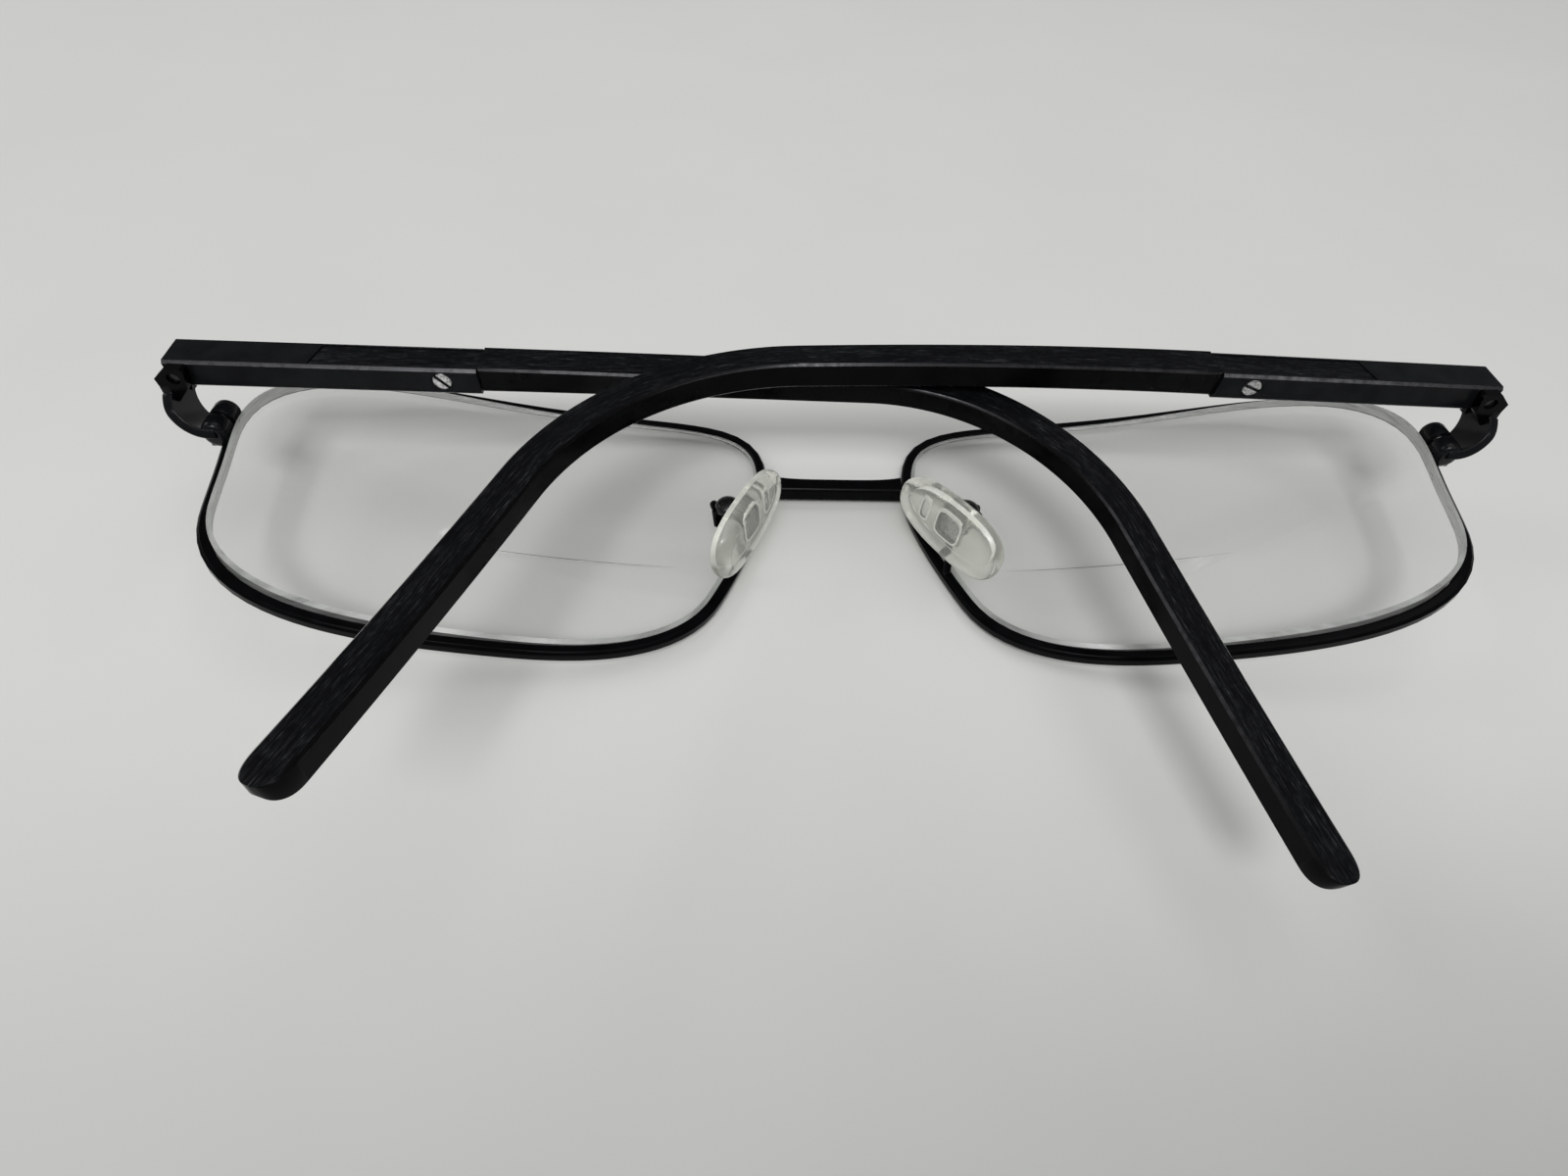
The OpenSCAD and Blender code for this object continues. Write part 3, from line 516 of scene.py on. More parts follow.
class Shape:
    """Points, faces and the normals at each face's corners."""

    def __init__(self):
        self.points, self.faces, self.normals, self.slots = [], [], [], []
        self.known = {}

    def point(self, place):
        """The number of the point at a place; places that agree to 0.0001 share one."""
        key = tuple(round(c, 4) for c in place)
        if key not in self.known:
            self.known[key] = len(self.points)
            self.points.append(Vector(place))
        return self.known[key]

    def face(self, corners, normals, slot=0):
        """A face whose front is on the side of its normals."""
        ids = [self.point(c) for c in corners]
        if len(set(ids)) < 3:
            return
        kept = [i for i in range(len(ids)) if ids[i] not in ids[:i]]
        a, b, c = (self.points[ids[i]] for i in kept[:3])
        if (b - a).cross(c - a).dot(sum((Vector(n) for n in normals), Vector())) < 0:
            kept.reverse()
        self.faces.append([ids[i] for i in kept])
        self.normals.append([Vector(normals[i]) for i in kept])
        self.slots.append(slot)

    def mesh(self, name, matrix):
        """The shape as a mesh, placed by the matrix, which may mirror it."""
        turn = matrix.to_3x3()
        mirrored = turn.determinant() < 0
        faces = [f[::-1] if mirrored else f for f in self.faces]
        normals = [n[::-1] if mirrored else n for n in self.normals]
        mesh = bpy.data.meshes.new(name + "_mesh")
        mesh.from_pydata([matrix @ p for p in self.points], [], faces)
        for face, slot in zip(mesh.polygons, self.slots):
            face.use_smooth = True
            face.material_index = slot
        mesh.normals_split_custom_set([(turn @ n).normalized() for row in normals for n in row])
        return mesh


def middle_of(corners):
    return sum(corners, Vector((0, 0))) / len(corners)


def triangles(rings, extra, inside):
    """Triangles over the region inside the first ring, with the other rings and lines as edges."""
    points, edges = [], []
    for ring, closed in rings:
        start = len(points)
        points.extend(Vector(p) for p in ring)
        count = len(ring)
        edges.extend((start + i, start + (i + 1) % count) for i in range(count if closed else count - 1))
    points.extend(Vector(p) for p in extra)
    found = delaunay_2d_cdt(points, edges, [], 0, 1e-5)
    places, faces = found[0], found[2]
    sheet = [[places[i] for i in face] for face in faces]
    return [corners for corners in sheet if inside(middle_of(corners))]


def tube_faces(rows, count):
    """Faces between rows of count points each, closed round and capped at both ends."""
    faces = [(i * count + j, i * count + (j + 1) % count, (i + 1) * count + (j + 1) % count,
              (i + 1) * count + j) for i in range(rows - 1) for j in range(count)]
    last = (rows - 1) * count
    return faces + [tuple(range(count - 1, -1, -1)), tuple(range(last, last + count))]


def closed_mesh(mesh, edges_of, width, sharp):
    """Turns a solid's faces outwards, breaks the edges that edges_of(bm) gives and shades it smooth."""
    bm = bmesh.new()
    bm.from_mesh(mesh)
    bmesh.ops.recalc_face_normals(bm, faces=bm.faces)
    bevel(bm, edges_of(bm), width)
    for face in bm.faces:
        face.smooth = True
    bm.to_mesh(mesh)
    bm.free()
    mesh.set_sharp_from_angle(angle=math.radians(sharp))


# Lenses: two spheres, a ground edge with its safety bevel, and the flat-top reading segment

def ease(v):
    """Rises smoothly from 0 to 1 as v does."""
    u = min(max(v, 0), 1)
    return u * u * (3 - 2 * u)


def outline_point(angle):
    """A point on the lens opening: each corner has its own squareness."""
    n = SQUARENESS[int(angle % 360 // 90)]
    c, s = math.cos(math.radians(angle)), math.sin(math.radians(angle))
    r = (abs(c / HALF_WIDTH) ** n + abs(s / HALF_HEIGHT) ** n) ** (-1 / n)
    x, y = r * c, r * s
    if x < 0:
        return Vector((x * (1 - NOSE_SLANT * ease((SLANT_TOP - y) / SIDE_RUN)), y))
    return Vector((x * (1 + TEMPLE_FLARE * ease((y + FLARE_DROP) / SIDE_RUN)), y))


def outward(angle):
    """The outline's outward direction at an angle."""
    d = outline_point(angle + 0.5) - outline_point(angle - 0.5)
    return Vector((d.y, -d.x)).normalized()


def inset_outline(depth, count=240):
    """The lens opening's outline, drawn in by a depth."""
    return [outline_point(a) - depth * outward(a) for a in (360 * i / count for i in range(count))]


def within(ring, p):
    """Whether p lies inside a ring that bulges outwards everywhere."""
    count = len(ring)
    return all((ring[(i + 1) % count] - ring[i]).cross(p - ring[i]) > 0 for i in range(count))


def in_segment(p):
    return (p - SEGMENT_MIDDLE).length < SEGMENT_RADIUS and p.y < SEGMENT_LINE


def front_height(p, segment):
    """Height of the lens's front over the lens centre's plane; the segment stands a little proud."""
    z = FRONT_RADIUS + LENS_INSET - math.sqrt(FRONT_RADIUS ** 2 - p.length_squared)
    if not segment:
        return z
    reach = ((p - SEGMENT_MIDDLE).length / SEGMENT_RADIUS) ** 2
    return z - SEGMENT_STEP * max(0, 1 - reach) / (1 - (SEGMENT_TOP / SEGMENT_RADIUS) ** 2)


def back_height(p):
    """Height of the lens's back over the same plane."""
    q = p + Vector((DECENTRE, 0))
    return LENS_INSET + LENS_THICK + BACK_RADIUS - math.sqrt(BACK_RADIUS ** 2 - q.length_squared)


def slope_normal(height, p):
    """The upward normal of a height at p."""
    step = 0.01
    dx = (height(p + Vector((step, 0))) - height(p - Vector((step, 0)))) / (2 * step)
    dy = (height(p + Vector((0, step))) - height(p - Vector((0, step)))) / (2 * step)
    return Vector((-dx, -dy, 1)).normalized()


def segment_line():
    """The segment's flat top, from one side of its circle to the other."""
    reach = math.sqrt(SEGMENT_RADIUS ** 2 - SEGMENT_TOP ** 2)
    return [Vector((SEGMENT_MIDDLE.x + reach * (2 * i / LINE_STEPS - 1), SEGMENT_LINE))
            for i in range(LINE_STEPS + 1)]


def segment_arcs(bevelled):
    """The segment's round edge inside the bevel, in one stretch or in two."""
    turn = math.asin(SEGMENT_TOP / SEGMENT_RADIUS)
    arc = [SEGMENT_MIDDLE + SEGMENT_RADIUS * Vector((math.cos(a), -math.sin(a)))
           for a in (-turn + (math.pi + 2 * turn) * i / ARC_STEPS for i in range(ARC_STEPS + 1))]
    arc = [p for p in arc[1:-1] if within(bevelled, p)]
    breaks = [k for k in range(1, len(arc)) if (arc[k] - arc[k - 1]).length > ARC_BREAK]
    return [arc[:breaks[0]], arc[breaks[0]:]] if breaks else [arc]


def inner_points(inset):
    """A ring inside the bevel and a grid inside the ring, clear of the segment's lines."""
    ring = inset_outline(inset, 120)
    grid = [Vector((GRID_STEP * (i + j % 2 / 2), GRID_STEP * GRID_ROW * j))
            for i in range(-GRID_COLUMNS, GRID_COLUMNS + 1) for j in range(-GRID_ROWS, GRID_ROWS + 1)]
    return ring + [p for p in grid if within(ring, p) and abs(p.y - SEGMENT_LINE) > GRID_CLEAR
                   and abs((p - SEGMENT_MIDDLE).length - SEGMENT_RADIUS) > GRID_CLEAR]


def key_of(p):
    """What two copies of the same point share."""
    return round(p.x, 4), round(p.y, 4)


def border_of(sheet):
    """The edges that only one triangle of the sheet has."""
    uses = {}
    for corners in sheet:
        for a, b in zip(corners, corners[1:] + corners[:1]):
            uses.setdefault(frozenset((key_of(a), key_of(b))), []).append((a, b))
    return [pairs[0] for pairs in uses.values() if len(pairs) == 1]


def beside(rim, p):
    """The outline's outward direction at the rim's point nearest to p."""
    i = min(range(len(rim)), key=lambda k: (rim[k] - p).length_squared)
    return outward(360 * i / len(rim))


def lens_shape():
    """One lens in its eyewire's frame: slot 0 clear, slot 1 ground, slot 2 the segment's ledge."""
    across, deep = SAFETY_BEVEL
    rim, bevelled = inset_outline(LENS_SEAT), inset_outline(LENS_SEAT + across)
    line = segment_line()
    rings = [(rim, True), (bevelled, True), (line, False)]
    rings += [(arc, False) for arc in segment_arcs(bevelled)]
    sheet = triangles(rings, inner_points(LENS_SEAT + across + GRID_EDGE), lambda p: within(rim, p))
    edge = border_of(sheet)
    border = {key_of(p) for ends in edge for p in ends}

    shape = Shape()
    for corners in sheet:
        front = partial(front_height, segment=in_segment(middle_of(corners)))
        shape.face([(p.x, p.y, front(p)) for p in corners], [-slope_normal(front, p) for p in corners])
        outer = [key_of(p) in border for p in corners]
        if any(outer):
            slant = [Vector((*(beside(rim, p) * deep), across)).normalized() for p in corners]
            ground = [(p.x, p.y, back_height(p) - deep * out) for p, out in zip(corners, outer)]
            shape.face(ground, slant, 1)
        else:
            shape.face([(p.x, p.y, back_height(p)) for p in corners],
                       [slope_normal(back_height, p) for p in corners])
    for a, b in edge:
        wall = [(a, front_height(a, in_segment(a))), (b, front_height(b, in_segment(b))),
                (b, back_height(b) - deep), (a, back_height(a) - deep)]
        shape.face([(p.x, p.y, z) for p, z in wall], [(*beside(rim, p), 0) for p, z in wall], 1)
    for a, b in zip(line, line[1:]):
        step = [(a, False), (b, False), (b, True), (a, True)]
        shape.face([(p.x, p.y, front_height(p, low)) for p, low in step], [(0, 1, 0)] * 4, 2)
    return shape


def rotation(degrees, axis):
    return Matrix.Rotation(math.radians(degrees), 4, axis)


def side_matrix(side):
    """Millimetres beside the lens centres to metres in the frame; the left side is mirrored."""
    return Matrix.Translation(origin) @ Matrix.Diagonal((SIDES[side] * MM, MM, MM, 1))


def eye_matrix(side):
    """Millimetres in an eyewire's own frame, round its lens centre, to metres in the frame."""
    middle = LENS_GAP / 2 + HALF_WIDTH * math.cos(math.radians(WRAP))
    return side_matrix(side) @ Matrix.Translation((middle, 0, 0)) @ rotation(-WRAP, "Y")


def lens_piece(side, materials):
    name = f"{side}_lens"
    mesh = lens_shape().mesh(name, eye_matrix(side))
    copy_of(name, mesh, materials, "front", "clear_lens", name)


# Nose pads: a soft clear pillow round a stiffer plate with a slot

def pad_matrix(side):
    """The pad's own frame, with +X across it, +Y along it and +Z to its back, to metres."""
    pivot = Matrix.Translation((0, 0, PAD_PIVOT))
    swing = pivot @ rotation(PAD_SWING[side], "X") @ pivot.inverted()
    return (side_matrix(side) @ Matrix.Translation(PAD_PLACE) @ rotation(PAD_SPLAY, "Z")
            @ rotation(-PAD_FACE, "Y") @ rotation(PAD_TILT, "X") @ swing)


def pad_ring(share, count=72):
    """The pad's outline, drawn in to a share of its half width, a little narrower at the top."""
    ring = []
    for i in range(count):
        c, s = math.cos(2 * math.pi * i / count), math.sin(2 * math.pi * i / count)
        r = (abs(c) ** PAD_SQUARENESS + abs(s) ** PAD_SQUARENESS) ** (-1 / PAD_SQUARENESS)
        y = r * s
        ring.append(Vector((PAD_WIDTH / 2 * share * r * c * (1 - PAD_NARROW * y),
                            (PAD_LENGTH / 2 - PAD_WIDTH / 2 * (1 - share)) * y)))
    return ring


def smooth_levels(levels, steps):
    """A smooth row of levels through the given ones."""
    ends = [levels[0]] + levels + [levels[-1]]
    row = []
    for i in range(len(levels) - 1):
        a, b, c, d = (Vector(p) for p in ends[i:i + 4])
        for k in range(steps):
            t = k / steps
            row.append(b + (c - a) * t / 2 + (2 * a - 5 * b + 4 * c - d) * t ** 2 / 2
                       + (3 * b - a - 3 * c + d) * t ** 3 / 2)
    return row + [Vector(levels[-1])]


def pillow():
    """The pad's closed rings from front to back, both ends drawn in almost to a point."""
    levels = smooth_levels(PAD_LEVELS, 4)
    first, last = levels[0], levels[-1]
    levels = [(first[0] * k, first[1]) for k in PAD_START] + [tuple(v) for v in levels]
    levels += [(last[0] * k, last[1]) for k in PAD_CLOSE]
    return [[Vector((p.x, p.y, z * PAD_THICK / 2)) for p in pad_ring(share)] for share, z in levels]


def pad_piece(side, material):
    """The soft clear pad."""
    rings, matrix = pillow(), pad_matrix(side)
    faces = tube_faces(len(rings), len(rings[0]))
    if SIDES[side] < 0:
        faces = [f[::-1] for f in faces]
    name = f"{side}_nose_pad"
    mesh = bpy.data.meshes.new(name + "_mesh")
    mesh.from_pydata([matrix @ p for ring in rings for p in ring], [], faces)
    for face in mesh.polygons:
        face.use_smooth = True
    copy_of(name, mesh, [material], name, "pad_silicone", name)


def rounded(place, half, grow=0, count=28):
    """A rounded oblong about a place, its half sides grown by grow."""
    ring = []
    for i in range(count):
        angle = 2 * math.pi * (i + 0.5) / count
        c, s = math.cos(angle), math.sin(angle)
        wide, high = abs(c / (half[0] + grow)), abs(s / (half[1] + grow))
        r = (wide ** HOLE_SQUARENESS + high ** HOLE_SQUARENESS) ** (-1 / HOLE_SQUARENESS)
        ring.append(Vector(place) + Vector((r * c, r * s)))
    return ring


def add_prism(shape, outer, holes, low, high, slots):
    """A flat plate with holes; slots are for its faces, its outer walls and its inner walls."""
    rings = [(outer, True)] + [(hole, True) for hole in holes]
    sheet = triangles(rings, [], lambda p: within(outer, p) and not any(within(h, p) for h in holes))
    for corners in sheet:
        for z, up in ((low, -1), (high, 1)):
            shape.face([(p.x, p.y, z) for p in corners], [(0, 0, up)] * 3, slots[0])
    for ring, way, slot in [(outer, 1, slots[1])] + [(hole, -1, slots[2]) for hole in holes]:
        for a, b in zip(ring, ring[1:] + ring[:1]):
            out = Vector((b.y - a.y, a.x - b.x, 0)).normalized() * way
            shape.face([(a.x, a.y, low), (b.x, b.y, low), (b.x, b.y, high), (a.x, a.y, high)],
                       [out] * 4, slot)


def core_piece(side, materials):
    """The plate inside the pad; its edge and the frames of its slot and its mount are painted bright as
    highlights, and the walls of its holes dark as painted shade.
    """
    shape = Shape()
    holes = [rounded(place, half) for place, half in CORE_HOLES]
    add_prism(shape, pad_ring(CORE_SHARE), holes, CORE_BACK, CORE_FRONT, (0, 1, 2))
    low = CORE_FRONT + FRAME_LIFT
    for place, half in CORE_HOLES:
        outer = rounded(place, half, CORE_FRAME + FRAME_PLAY)
        inner = rounded(place, half, FRAME_PLAY)
        add_prism(shape, outer, [inner], low, low + CORE_FRAME, (1, 1, 2))
    name = f"{side}_pad_core"
    mesh = shape.mesh(name, pad_matrix(side))
    copy_of(name, mesh, materials, f"{side}_nose_pad", "pad_silicone")


# Temples

def temple_matrix(side):
    """The temple's own frame, with its hinge axis along Y and +X along the arm, to metres."""
    fit = FITTINGS[side]
    return (side_matrix(side) @ Matrix.Translation(HINGE) @ Matrix.Diagonal((-1, 1, 1, 1))
            @ rotation(-fit.fold, "Y") @ rotation(fit.rise, "Z"))


def arm_point(fit, s, h, z, skew=0):
    """The place of a point of the arm: s along it, h across it and z over its hinge axis."""
    angle = min(max((s - fit.start) / fit.radius, 0), math.radians(fit.angle))
    turn = math.radians(fit.twist * ease((s - SLEEVE_LENGTH) / (fit.start - SLEEVE_LENGTH)))
    past = max(0, s - fit.end)
    x = min(s, fit.start) + fit.radius * math.sin(angle) + past * math.cos(angle)
    y = -fit.radius * (1 - math.cos(angle)) - past * math.sin(angle)
    curled = max(0, (s - fit.start) / (TEMPLE_LENGTH - fit.start))
    inward = max(0, s - SLEEVE_LENGTH) ** 2 / (2 * fit.bow) - fit.curl * curled ** 2
    x += h * math.sin(angle) + skew * h
    y += h * math.cos(angle)
    z -= inward + TWIST_DEPTH
    return Vector((x, y * math.cos(turn) - z * math.sin(turn),
                   y * math.sin(turn) + z * math.cos(turn) + TWIST_DEPTH))


def bar_section(height, thick, top, edge):
    """Corners of the bar's section, as (across, over the axis), each edge slanted."""
    h, low = height / 2, top - thick
    return [(h - edge, top), (edge - h, top), (-h, top - edge), (-h, low + edge),
            (edge - h, low), (h - edge, low), (h, low + edge), (h, top - edge)]


def bar_at(s):
    """The bar's section at s: it tapers to the tip, which is rounded off."""
    u = min(max((s - SLEEVE_LENGTH) / (TEMPLE_LENGTH - SLEEVE_LENGTH), 0), 1)
    height = ARM_HEIGHT + (TIP_HEIGHT - ARM_HEIGHT) * u
    thick = ARM_THICK + (TIP_THICK - ARM_THICK) * u
    v = min(max((s - TEMPLE_LENGTH + TIP_RUN) / TIP_RUN, 0), TIP_END)
    k = (1 - v ** TIP_SQUARENESS) ** (1 / TIP_SQUARENESS)
    thin = TIP_THIN + (1 - TIP_THIN) * k
    return bar_section(height * k, thick * thin, FACE_RISE - ARM_PLAY, ARM_EDGE * max(k, TIP_EDGE))


def stations(fit):
    """Places along the arm: few where it is straight, many round its bend and its tip."""
    tip = TEMPLE_LENGTH - TIP_RUN
    before, round_bend, after = ARM_STEPS
    row = [BAR_START + (fit.start - SLEEVE_LENGTH) * i / before for i in range(before)]
    row += [fit.start + (fit.end - fit.start) * i / round_bend for i in range(round_bend)]
    row += [fit.end + (tip - fit.end) * i / after for i in range(after)]
    row += [tip + TIP_RUN * math.sin(math.radians(a)) for a in range(0, 86, 5)]
    return row + [TEMPLE_LENGTH]


def arm_rows(fit):
    """The arm as (place along it, section, points): its tongue in the channel, then the bar."""
    half, top = CHANNEL_HALF - INLAY_GAP, FACE_RISE - INLAY_DEPTH
    tongue = bar_section(2 * half, top - CHANNEL_FLOOR - ARM_PLAY, top, INLAY_EDGE)
    rows = []
    for s in (CHANNEL_START + INLAY_GAP, TONGUE_END, BAR_START):
        skew = CHANNEL_SLANT / CHANNEL_HALF if s < SLEEVE_LENGTH / 2 else 0
        rows.append((s, tongue, [arm_point(fit, s, h, z, skew) for h, z in tongue]))
    for s in stations(fit):
        section = [(h + ARM_SHIFT, z) for h, z in bar_at(s)]
        rows.append((s, section, [arm_point(fit, s, h, z) for h, z in section]))
    return rows


def finish_borders(bm):
    """The edges between faces of different materials."""
    return [e for e in bm.edges if len(e.link_faces) == 2
            and e.link_faces[0].material_index != e.link_faces[1].material_index]


def arm_piece(side, materials):
    """The arm as one loft: 0 on its broad faces, 1 on its narrow sides, 2 on its slanted edges."""
    rows, matrix = arm_rows(FITTINGS[side]), temple_matrix(side)
    faces = tube_faces(len(rows), len(rows[0][1]))
    name = f"{side}_temple_arm"
    mesh = bpy.data.meshes.new(name + "_mesh")
    mesh.from_pydata([matrix @ p for s, section, points in rows for p in points], [], faces)
    slots = [(0, 2, 1, 2)[i % 4] for i in range(len(faces) - 2)] + [1, 1]
    lane = ARM_LANE if side == "right" else 0
    # The grain runs along the arm, which these coordinates follow
    layer = mesh.uv_layers.new(name="along")
    places = [(s, h, z) for s, section, points in rows for h, z in section]
    for face, slot in zip(mesh.polygons, slots):
        face.material_index = slot
        narrow = slot == 1 and len(face.vertices) == 4
        for loop in face.loop_indices:
            s, h, z = places[mesh.loops[loop].vertex_index]
            layer.data[loop].uv = (s, lane + (z + NARROW_LANE if narrow else h))
    closed_mesh(mesh, finish_borders, ARM_BREAK, sharp=40)
    weigh_normals(copy_of(name, mesh, materials, f"{side}_temple", "brushed_black", name))


def edge_finish(face):
    """1 on a sleeve's slanted edges, 0 elsewhere."""
    low, high = SLANT_RISE
    return 1 if low < abs(face.normal.z) < high and abs(face.normal.x) < SLANT_REACH else 0


def screw_piece(side, materials):
    """The temple screw's head, with the walls and floor of its slot in the second material."""
    half, deep = SCREW_SLOT
    top = -SLEEVE_HEIGHT / 2 - SCREW_PROUD
    radius = SCREW_HEAD - SCREW_PLAY
    up = Vector((0, -1, 0))
    turn = Matrix.Rotation(math.radians(SCREW_TURN[side]), 2)
    shape = Shape()

    def put(place, y):
        """A place on the head at a height along the screw, in the temple's frame."""
        p = turn @ Vector(place)
        return Vector((p.x, y, p.y))

    reach = math.acos(half / radius)
    draw_in = (radius - SCREW_CROWN) / radius
    for sign in (-1, 1):
        arc = [(radius * math.sin(t), sign * radius * math.cos(t))
               for t in (-reach + 2 * reach * i / SCREW_STEPS for i in range(SCREW_STEPS + 1))]
        inner = [(draw_in * x, max(half, draw_in * abs(z)) * sign) for x, z in arc]
        shape.face([put(p, top) for p in inner], [up] * len(inner))
        for a, b, c, d in zip(arc, arc[1:], inner[1:], inner):
            rim = [put(p, top + SCREW_CROWN) for p in (a, b)]
            out = [put(Vector(p) / radius, 0) for p in (a, b)]
            slant = [(n + up).normalized() for n in out]
            shape.face([*rim, put(c, top), put(d, top)], [*slant, up, up])
            shape.face([*rim, put(b, top + SCREW_SINK), put(a, top + SCREW_SINK)], out + out[::-1])
        a, b = inner[0], inner[-1]
        shape.face([put(a, top), put(b, top), put(b, top + deep), put(a, top + deep)],
                   [put((0, -sign), 0)] * 4, 1)
    end = radius - SCREW_PLAY / 2
    shape.face([put(p, top + deep) for p in ((-end, -half), (end, -half), (end, half), (-end, half))],
               [up] * 4, 1)
    place = Matrix.Translation((SLEEVE_LENGTH - SCREW_FROM_END, 0, CHANNEL_FLOOR + SCREW_LIFT))
    name = f"{side}_temple_screw"
    mesh = shape.mesh(name, temple_matrix(side) @ place)
    copy_of(name, mesh, materials, f"{side}_temple", "steel", name)


def screw_finish(side):
    """1 on the closing screw's shank where it crosses the gap, 0 elsewhere."""
    axis_x = SIDES[side] * (HINGE.x + LOCK_OFFSET[0])
    axis_z = HINGE.z + LOCK_OFFSET[1]
    gap = HINGE.y + LOCK_GAP

    def choose(face):
        middle = (face.calc_center_median() - origin) / MM
        inner = math.hypot(middle.x - axis_x, middle.z - axis_z) < LOCK_REACH
        return 1 if inner and abs(middle.y - gap) < THREAD_SHOWN else 0
    return choose


# Small solids added to the front: the strap's broad band, the closing block's foot, the boxes' bolts

def lofted(name, rows, matrix, material, width):
    """A closed solid through rows of points, with its edges just broken, riding on the front."""
    mesh = bpy.data.meshes.new(name + "_mesh")
    mesh.from_pydata([matrix @ Vector(p) for row in rows for p in row], [],
                     tube_faces(len(rows), len(rows[0])))
    closed_mesh(mesh, partial(creases, least=40), width, sharp=45)
    weigh_normals(copy_of(name, mesh, [material], "front", "black_metal"))


def turned(profile, count=32):
    """Rows of (place, across, up) round the first axis, for a profile of (place, radius)."""
    turns = [2 * math.pi * i / count for i in range(count)]
    return [[(x, r * math.cos(a), r * math.sin(a)) for a in turns] for x, r in profile]


def strap_band(side, material):
    """The strap's full breadth, from under the hinge plate round the bend to the rim."""
    lift = Matrix.Translation((0, 0, TILT_AT))
    tilt = lift @ rotation(-STRAP_TILT, "X") @ lift.inverted()
    near, far = STRAP_IN - STRAP_PROUD, STRAP_OUT + STRAP_PROUD

    def row(inner, outer, low, high, turn=Matrix()):
        """The band's section between two places (x, z) and two heights y."""
        corners = [(*inner, low), (*outer, low), (*outer, high), (*inner, high)]
        return [turn @ Vector((x, y, z)) for x, z, y in corners]

    rows = [row((near, z), (far, z), STRAP_LOW - STRAP_LAP - wide, STRAP_LOW + START_RISE)
            for z, wide in STRAP_START]
    middle = Vector((STRAP_OUT - STRAP_RADIUS, -BEND_DROP))
    for i in range(STRAP_STEPS + 1):
        share = i / STRAP_STEPS
        angle = math.radians(STRAP_TURN * share)
        way = Vector((math.cos(angle), -math.sin(angle)))
        low = STRAP_LOW - STRAP_WIDEN * ease(WIDEN_START + WIDEN_GROWTH * share)
        rows.append(row(middle + way * (near - middle.x), middle + way * (far - middle.x), low,
                        STRAP_HIGH + STRAP_LAP, tilt))
    lofted(f"{side}_strap_band", rows, side_matrix(side) @ Matrix.Translation(HINGE), material, width=0.12)


def lock_foot(side, material):
    """The rounded underside of the closing block, its front half drawn out to a skirt."""
    place = Matrix.Translation(HINGE + Vector((LOCK_OFFSET[0], 0, LOCK_OFFSET[1])))
    rows = [[(x, y, z - LOCK_SKIRT if z < 0 else z) for y, x, z in ring] for ring in turned(LOCK_FOOT)]
    lofted(f"{side}_lock_foot", rows, side_matrix(side) @ place, material, width=0.05)


def box_bolt(side, material):
    """The round head of the bolt through the pad's box."""
    place = pad_matrix(side) @ Matrix.Translation((0, 0, PAD_PIVOT))
    lofted(f"{side}_box_bolt", turned(BOX_BOLT), place, material, width=0.05)


# The object

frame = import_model()
bridge_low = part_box("bridge")[0]
origin = Vector((0, bridge_low.y, bridge_low.z)) - BRIDGE_LOW * MM

lacquer = black_lacquer("black_lacquer", gloss=0.04, shade=0.002)
satin = black_lacquer("satin_lacquer", gloss=0.04, shade=0.007)
glossy = black_lacquer("glossy_lacquer", gloss=0.16, shade=0.005)
brushed = brushed_charcoal()
rubbed = rubbed_edge("rubbed_edge", sheen=0.075)
worn = rubbed_edge("worn_edge", sheen=0.02)
clear = lens_clear()
ground = lens_edge()
ledge = ledge_painted_shade()
silicone = pad_silicone()
stiff = pad_core()
white = core_painted_highlight()
bright = steel()
dark = dark_steel()
painted_glint_thread = thread_painted_glints()

coats = {"eyewire": lacquer, "endpiece": lacquer, "closing_block": glossy, "pad_arm": lacquer}
finished("bridge", "black_metal", [lacquer], width=0.1)
for side in SIDES:
    for part, coat in coats.items():
        finished(f"{side}_{part}", "black_metal", [coat], width=0.05)
    finished(f"{side}_temple_front", "black_metal", [satin, rubbed], width=0.1, choose=edge_finish)
    finished(f"{side}_closing_screw", "black_metal", [dark, painted_glint_thread], width=0.04,
             choose=screw_finish(side))
    finished(f"{side}_hinge_screw", "black_metal", [dark], width=0.04)
    finished(f"{side}_pad_mount", "steel", [bright], width=0.15)
    finished(f"{side}_pad_screw", "steel", [bright], width=0.04)
    screw_piece(side, [bright, dark])
    pad_piece(side, silicone)
    core_piece(side, [stiff, white, ledge])
    lens_piece(side, [clear, ground, ledge])
    arm_piece(side, [brushed, lacquer, worn])
    strap_band(side, glossy)
    lock_foot(side, glossy)
    box_bolt(side, dark)


# Floor, light and camera

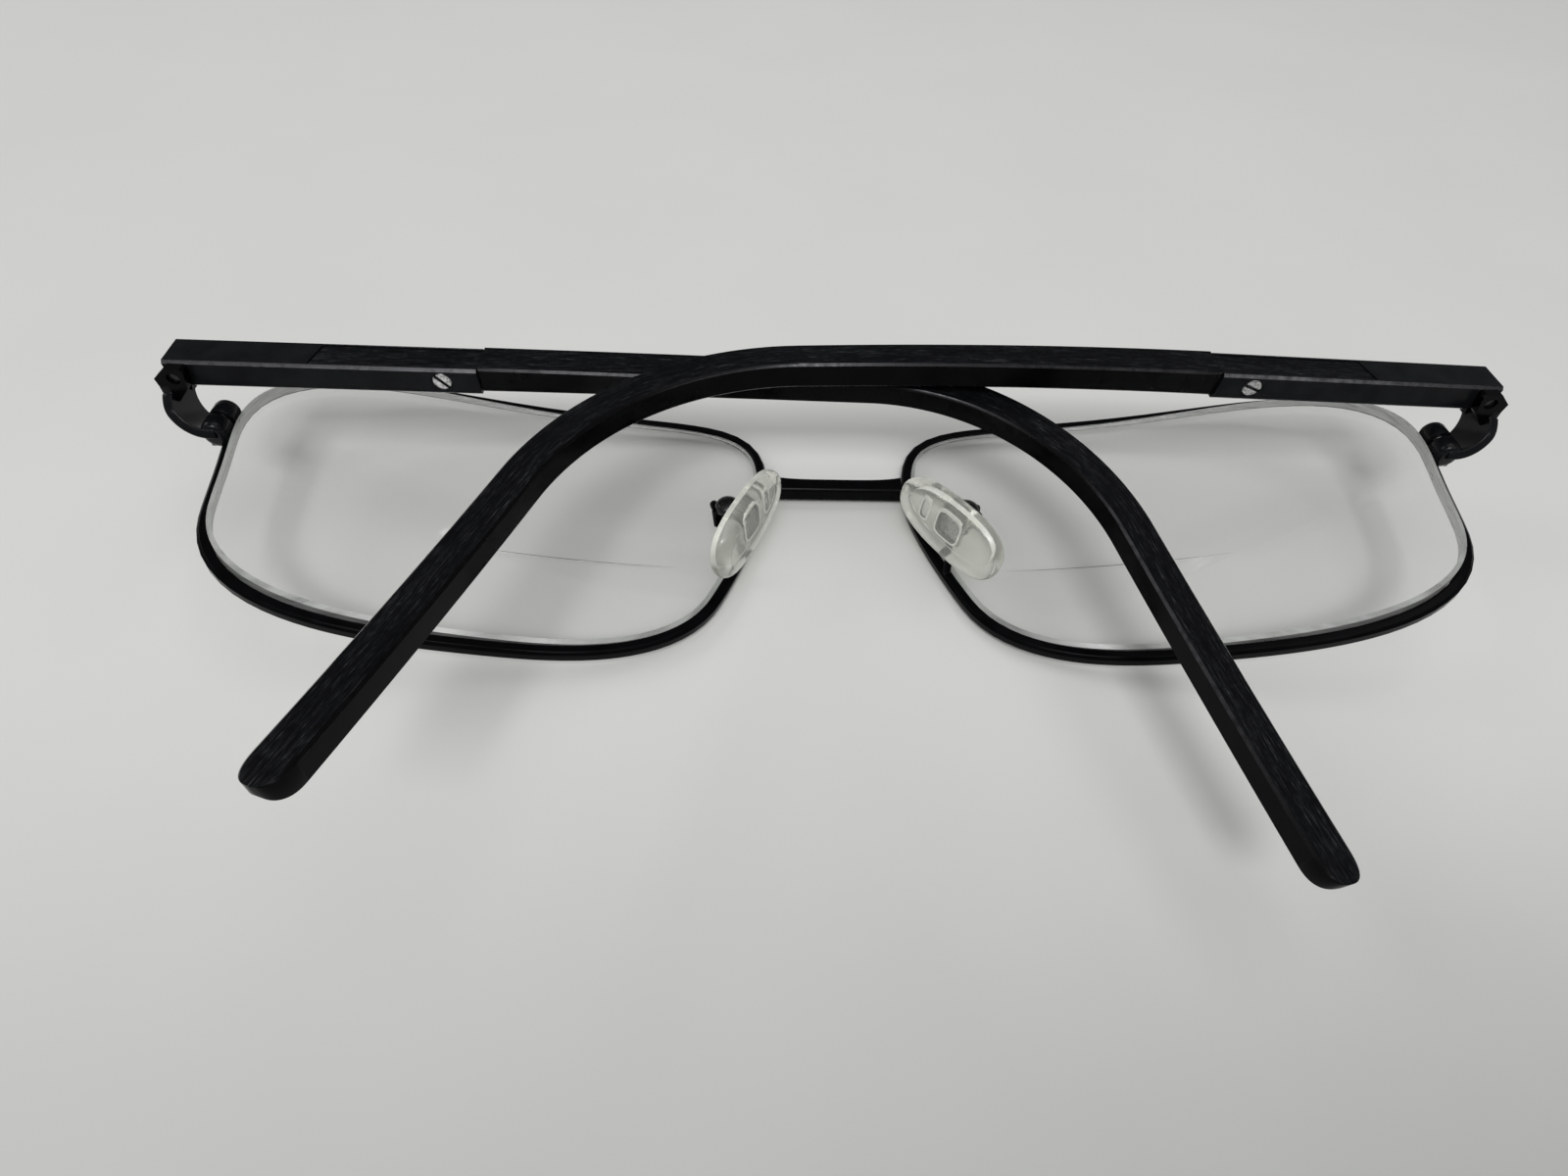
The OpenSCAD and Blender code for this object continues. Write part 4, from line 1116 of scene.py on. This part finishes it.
def floor():
    """The table that the frame lies on."""
    mesh = bpy.data.meshes.new("table")
    half = TABLE_HALF
    mesh.from_pydata([(-half, -half, 0), (half, -half, 0), (half, half, 0), (-half, half, 0)],
                     [], [(0, 1, 2, 3)])
    mesh.materials.append(table_top())
    table = bpy.data.objects.new("table", mesh)
    bpy.context.scene.collection.objects.link(table)


def lamp(name, place, width, height, power):
    """A soft oblong lamp turned to the middle of the table."""
    data = bpy.data.lights.new(name, "AREA")
    data.shape = "RECTANGLE"
    data.size = width
    data.size_y = height
    data.energy = power
    made = bpy.data.objects.new(name, data)
    made.location = place
    made.rotation_mode = "QUATERNION"
    made.rotation_quaternion = (-Vector(place)).to_track_quat("-Z", "Y")
    bpy.context.scene.collection.objects.link(made)


def sky(strength):
    """Even white light from all round."""
    world = bpy.data.worlds.new("room")
    world.use_nodes = True
    background = next(n for n in world.node_tree.nodes if n.type == "BACKGROUND")
    background.inputs["Color"].default_value = (1, 1, 1, 1)
    background.inputs["Strength"].default_value = strength
    bpy.context.scene.world = world


def camera():
    """The photograph's camera, from its heading, its dip and its turn about the line of sight."""
    yaw, pitch, roll = (math.radians(a) for a in (CAMERA_YAW, CAMERA_PITCH, CAMERA_ROLL))
    ahead = Vector((math.sin(yaw) * math.cos(pitch), math.cos(yaw) * math.cos(pitch), math.sin(pitch)))
    level = Vector((math.cos(yaw), -math.sin(yaw), 0))
    above = level.cross(ahead)
    right = math.cos(roll) * level + math.sin(roll) * above
    up = math.cos(roll) * above - math.sin(roll) * level
    data = bpy.data.cameras.new("camera")
    data.sensor_width = 36
    data.lens = CAMERA_LENS
    data.clip_start = 0.005
    made = bpy.data.objects.new("camera", data)
    bpy.context.scene.collection.objects.link(made)
    turn = Matrix((right, up, -ahead)).transposed().to_4x4()
    made.matrix_world = Matrix.Translation(origin + CAMERA_PLACE * MM) @ turn
    bpy.context.scene.camera = made


floor()
sky(ROOM_LIGHT)
for name, values in LAMPS.items():
    lamp(name, *values)
camera()
bpy.context.scene.view_settings.view_transform = "Standard"
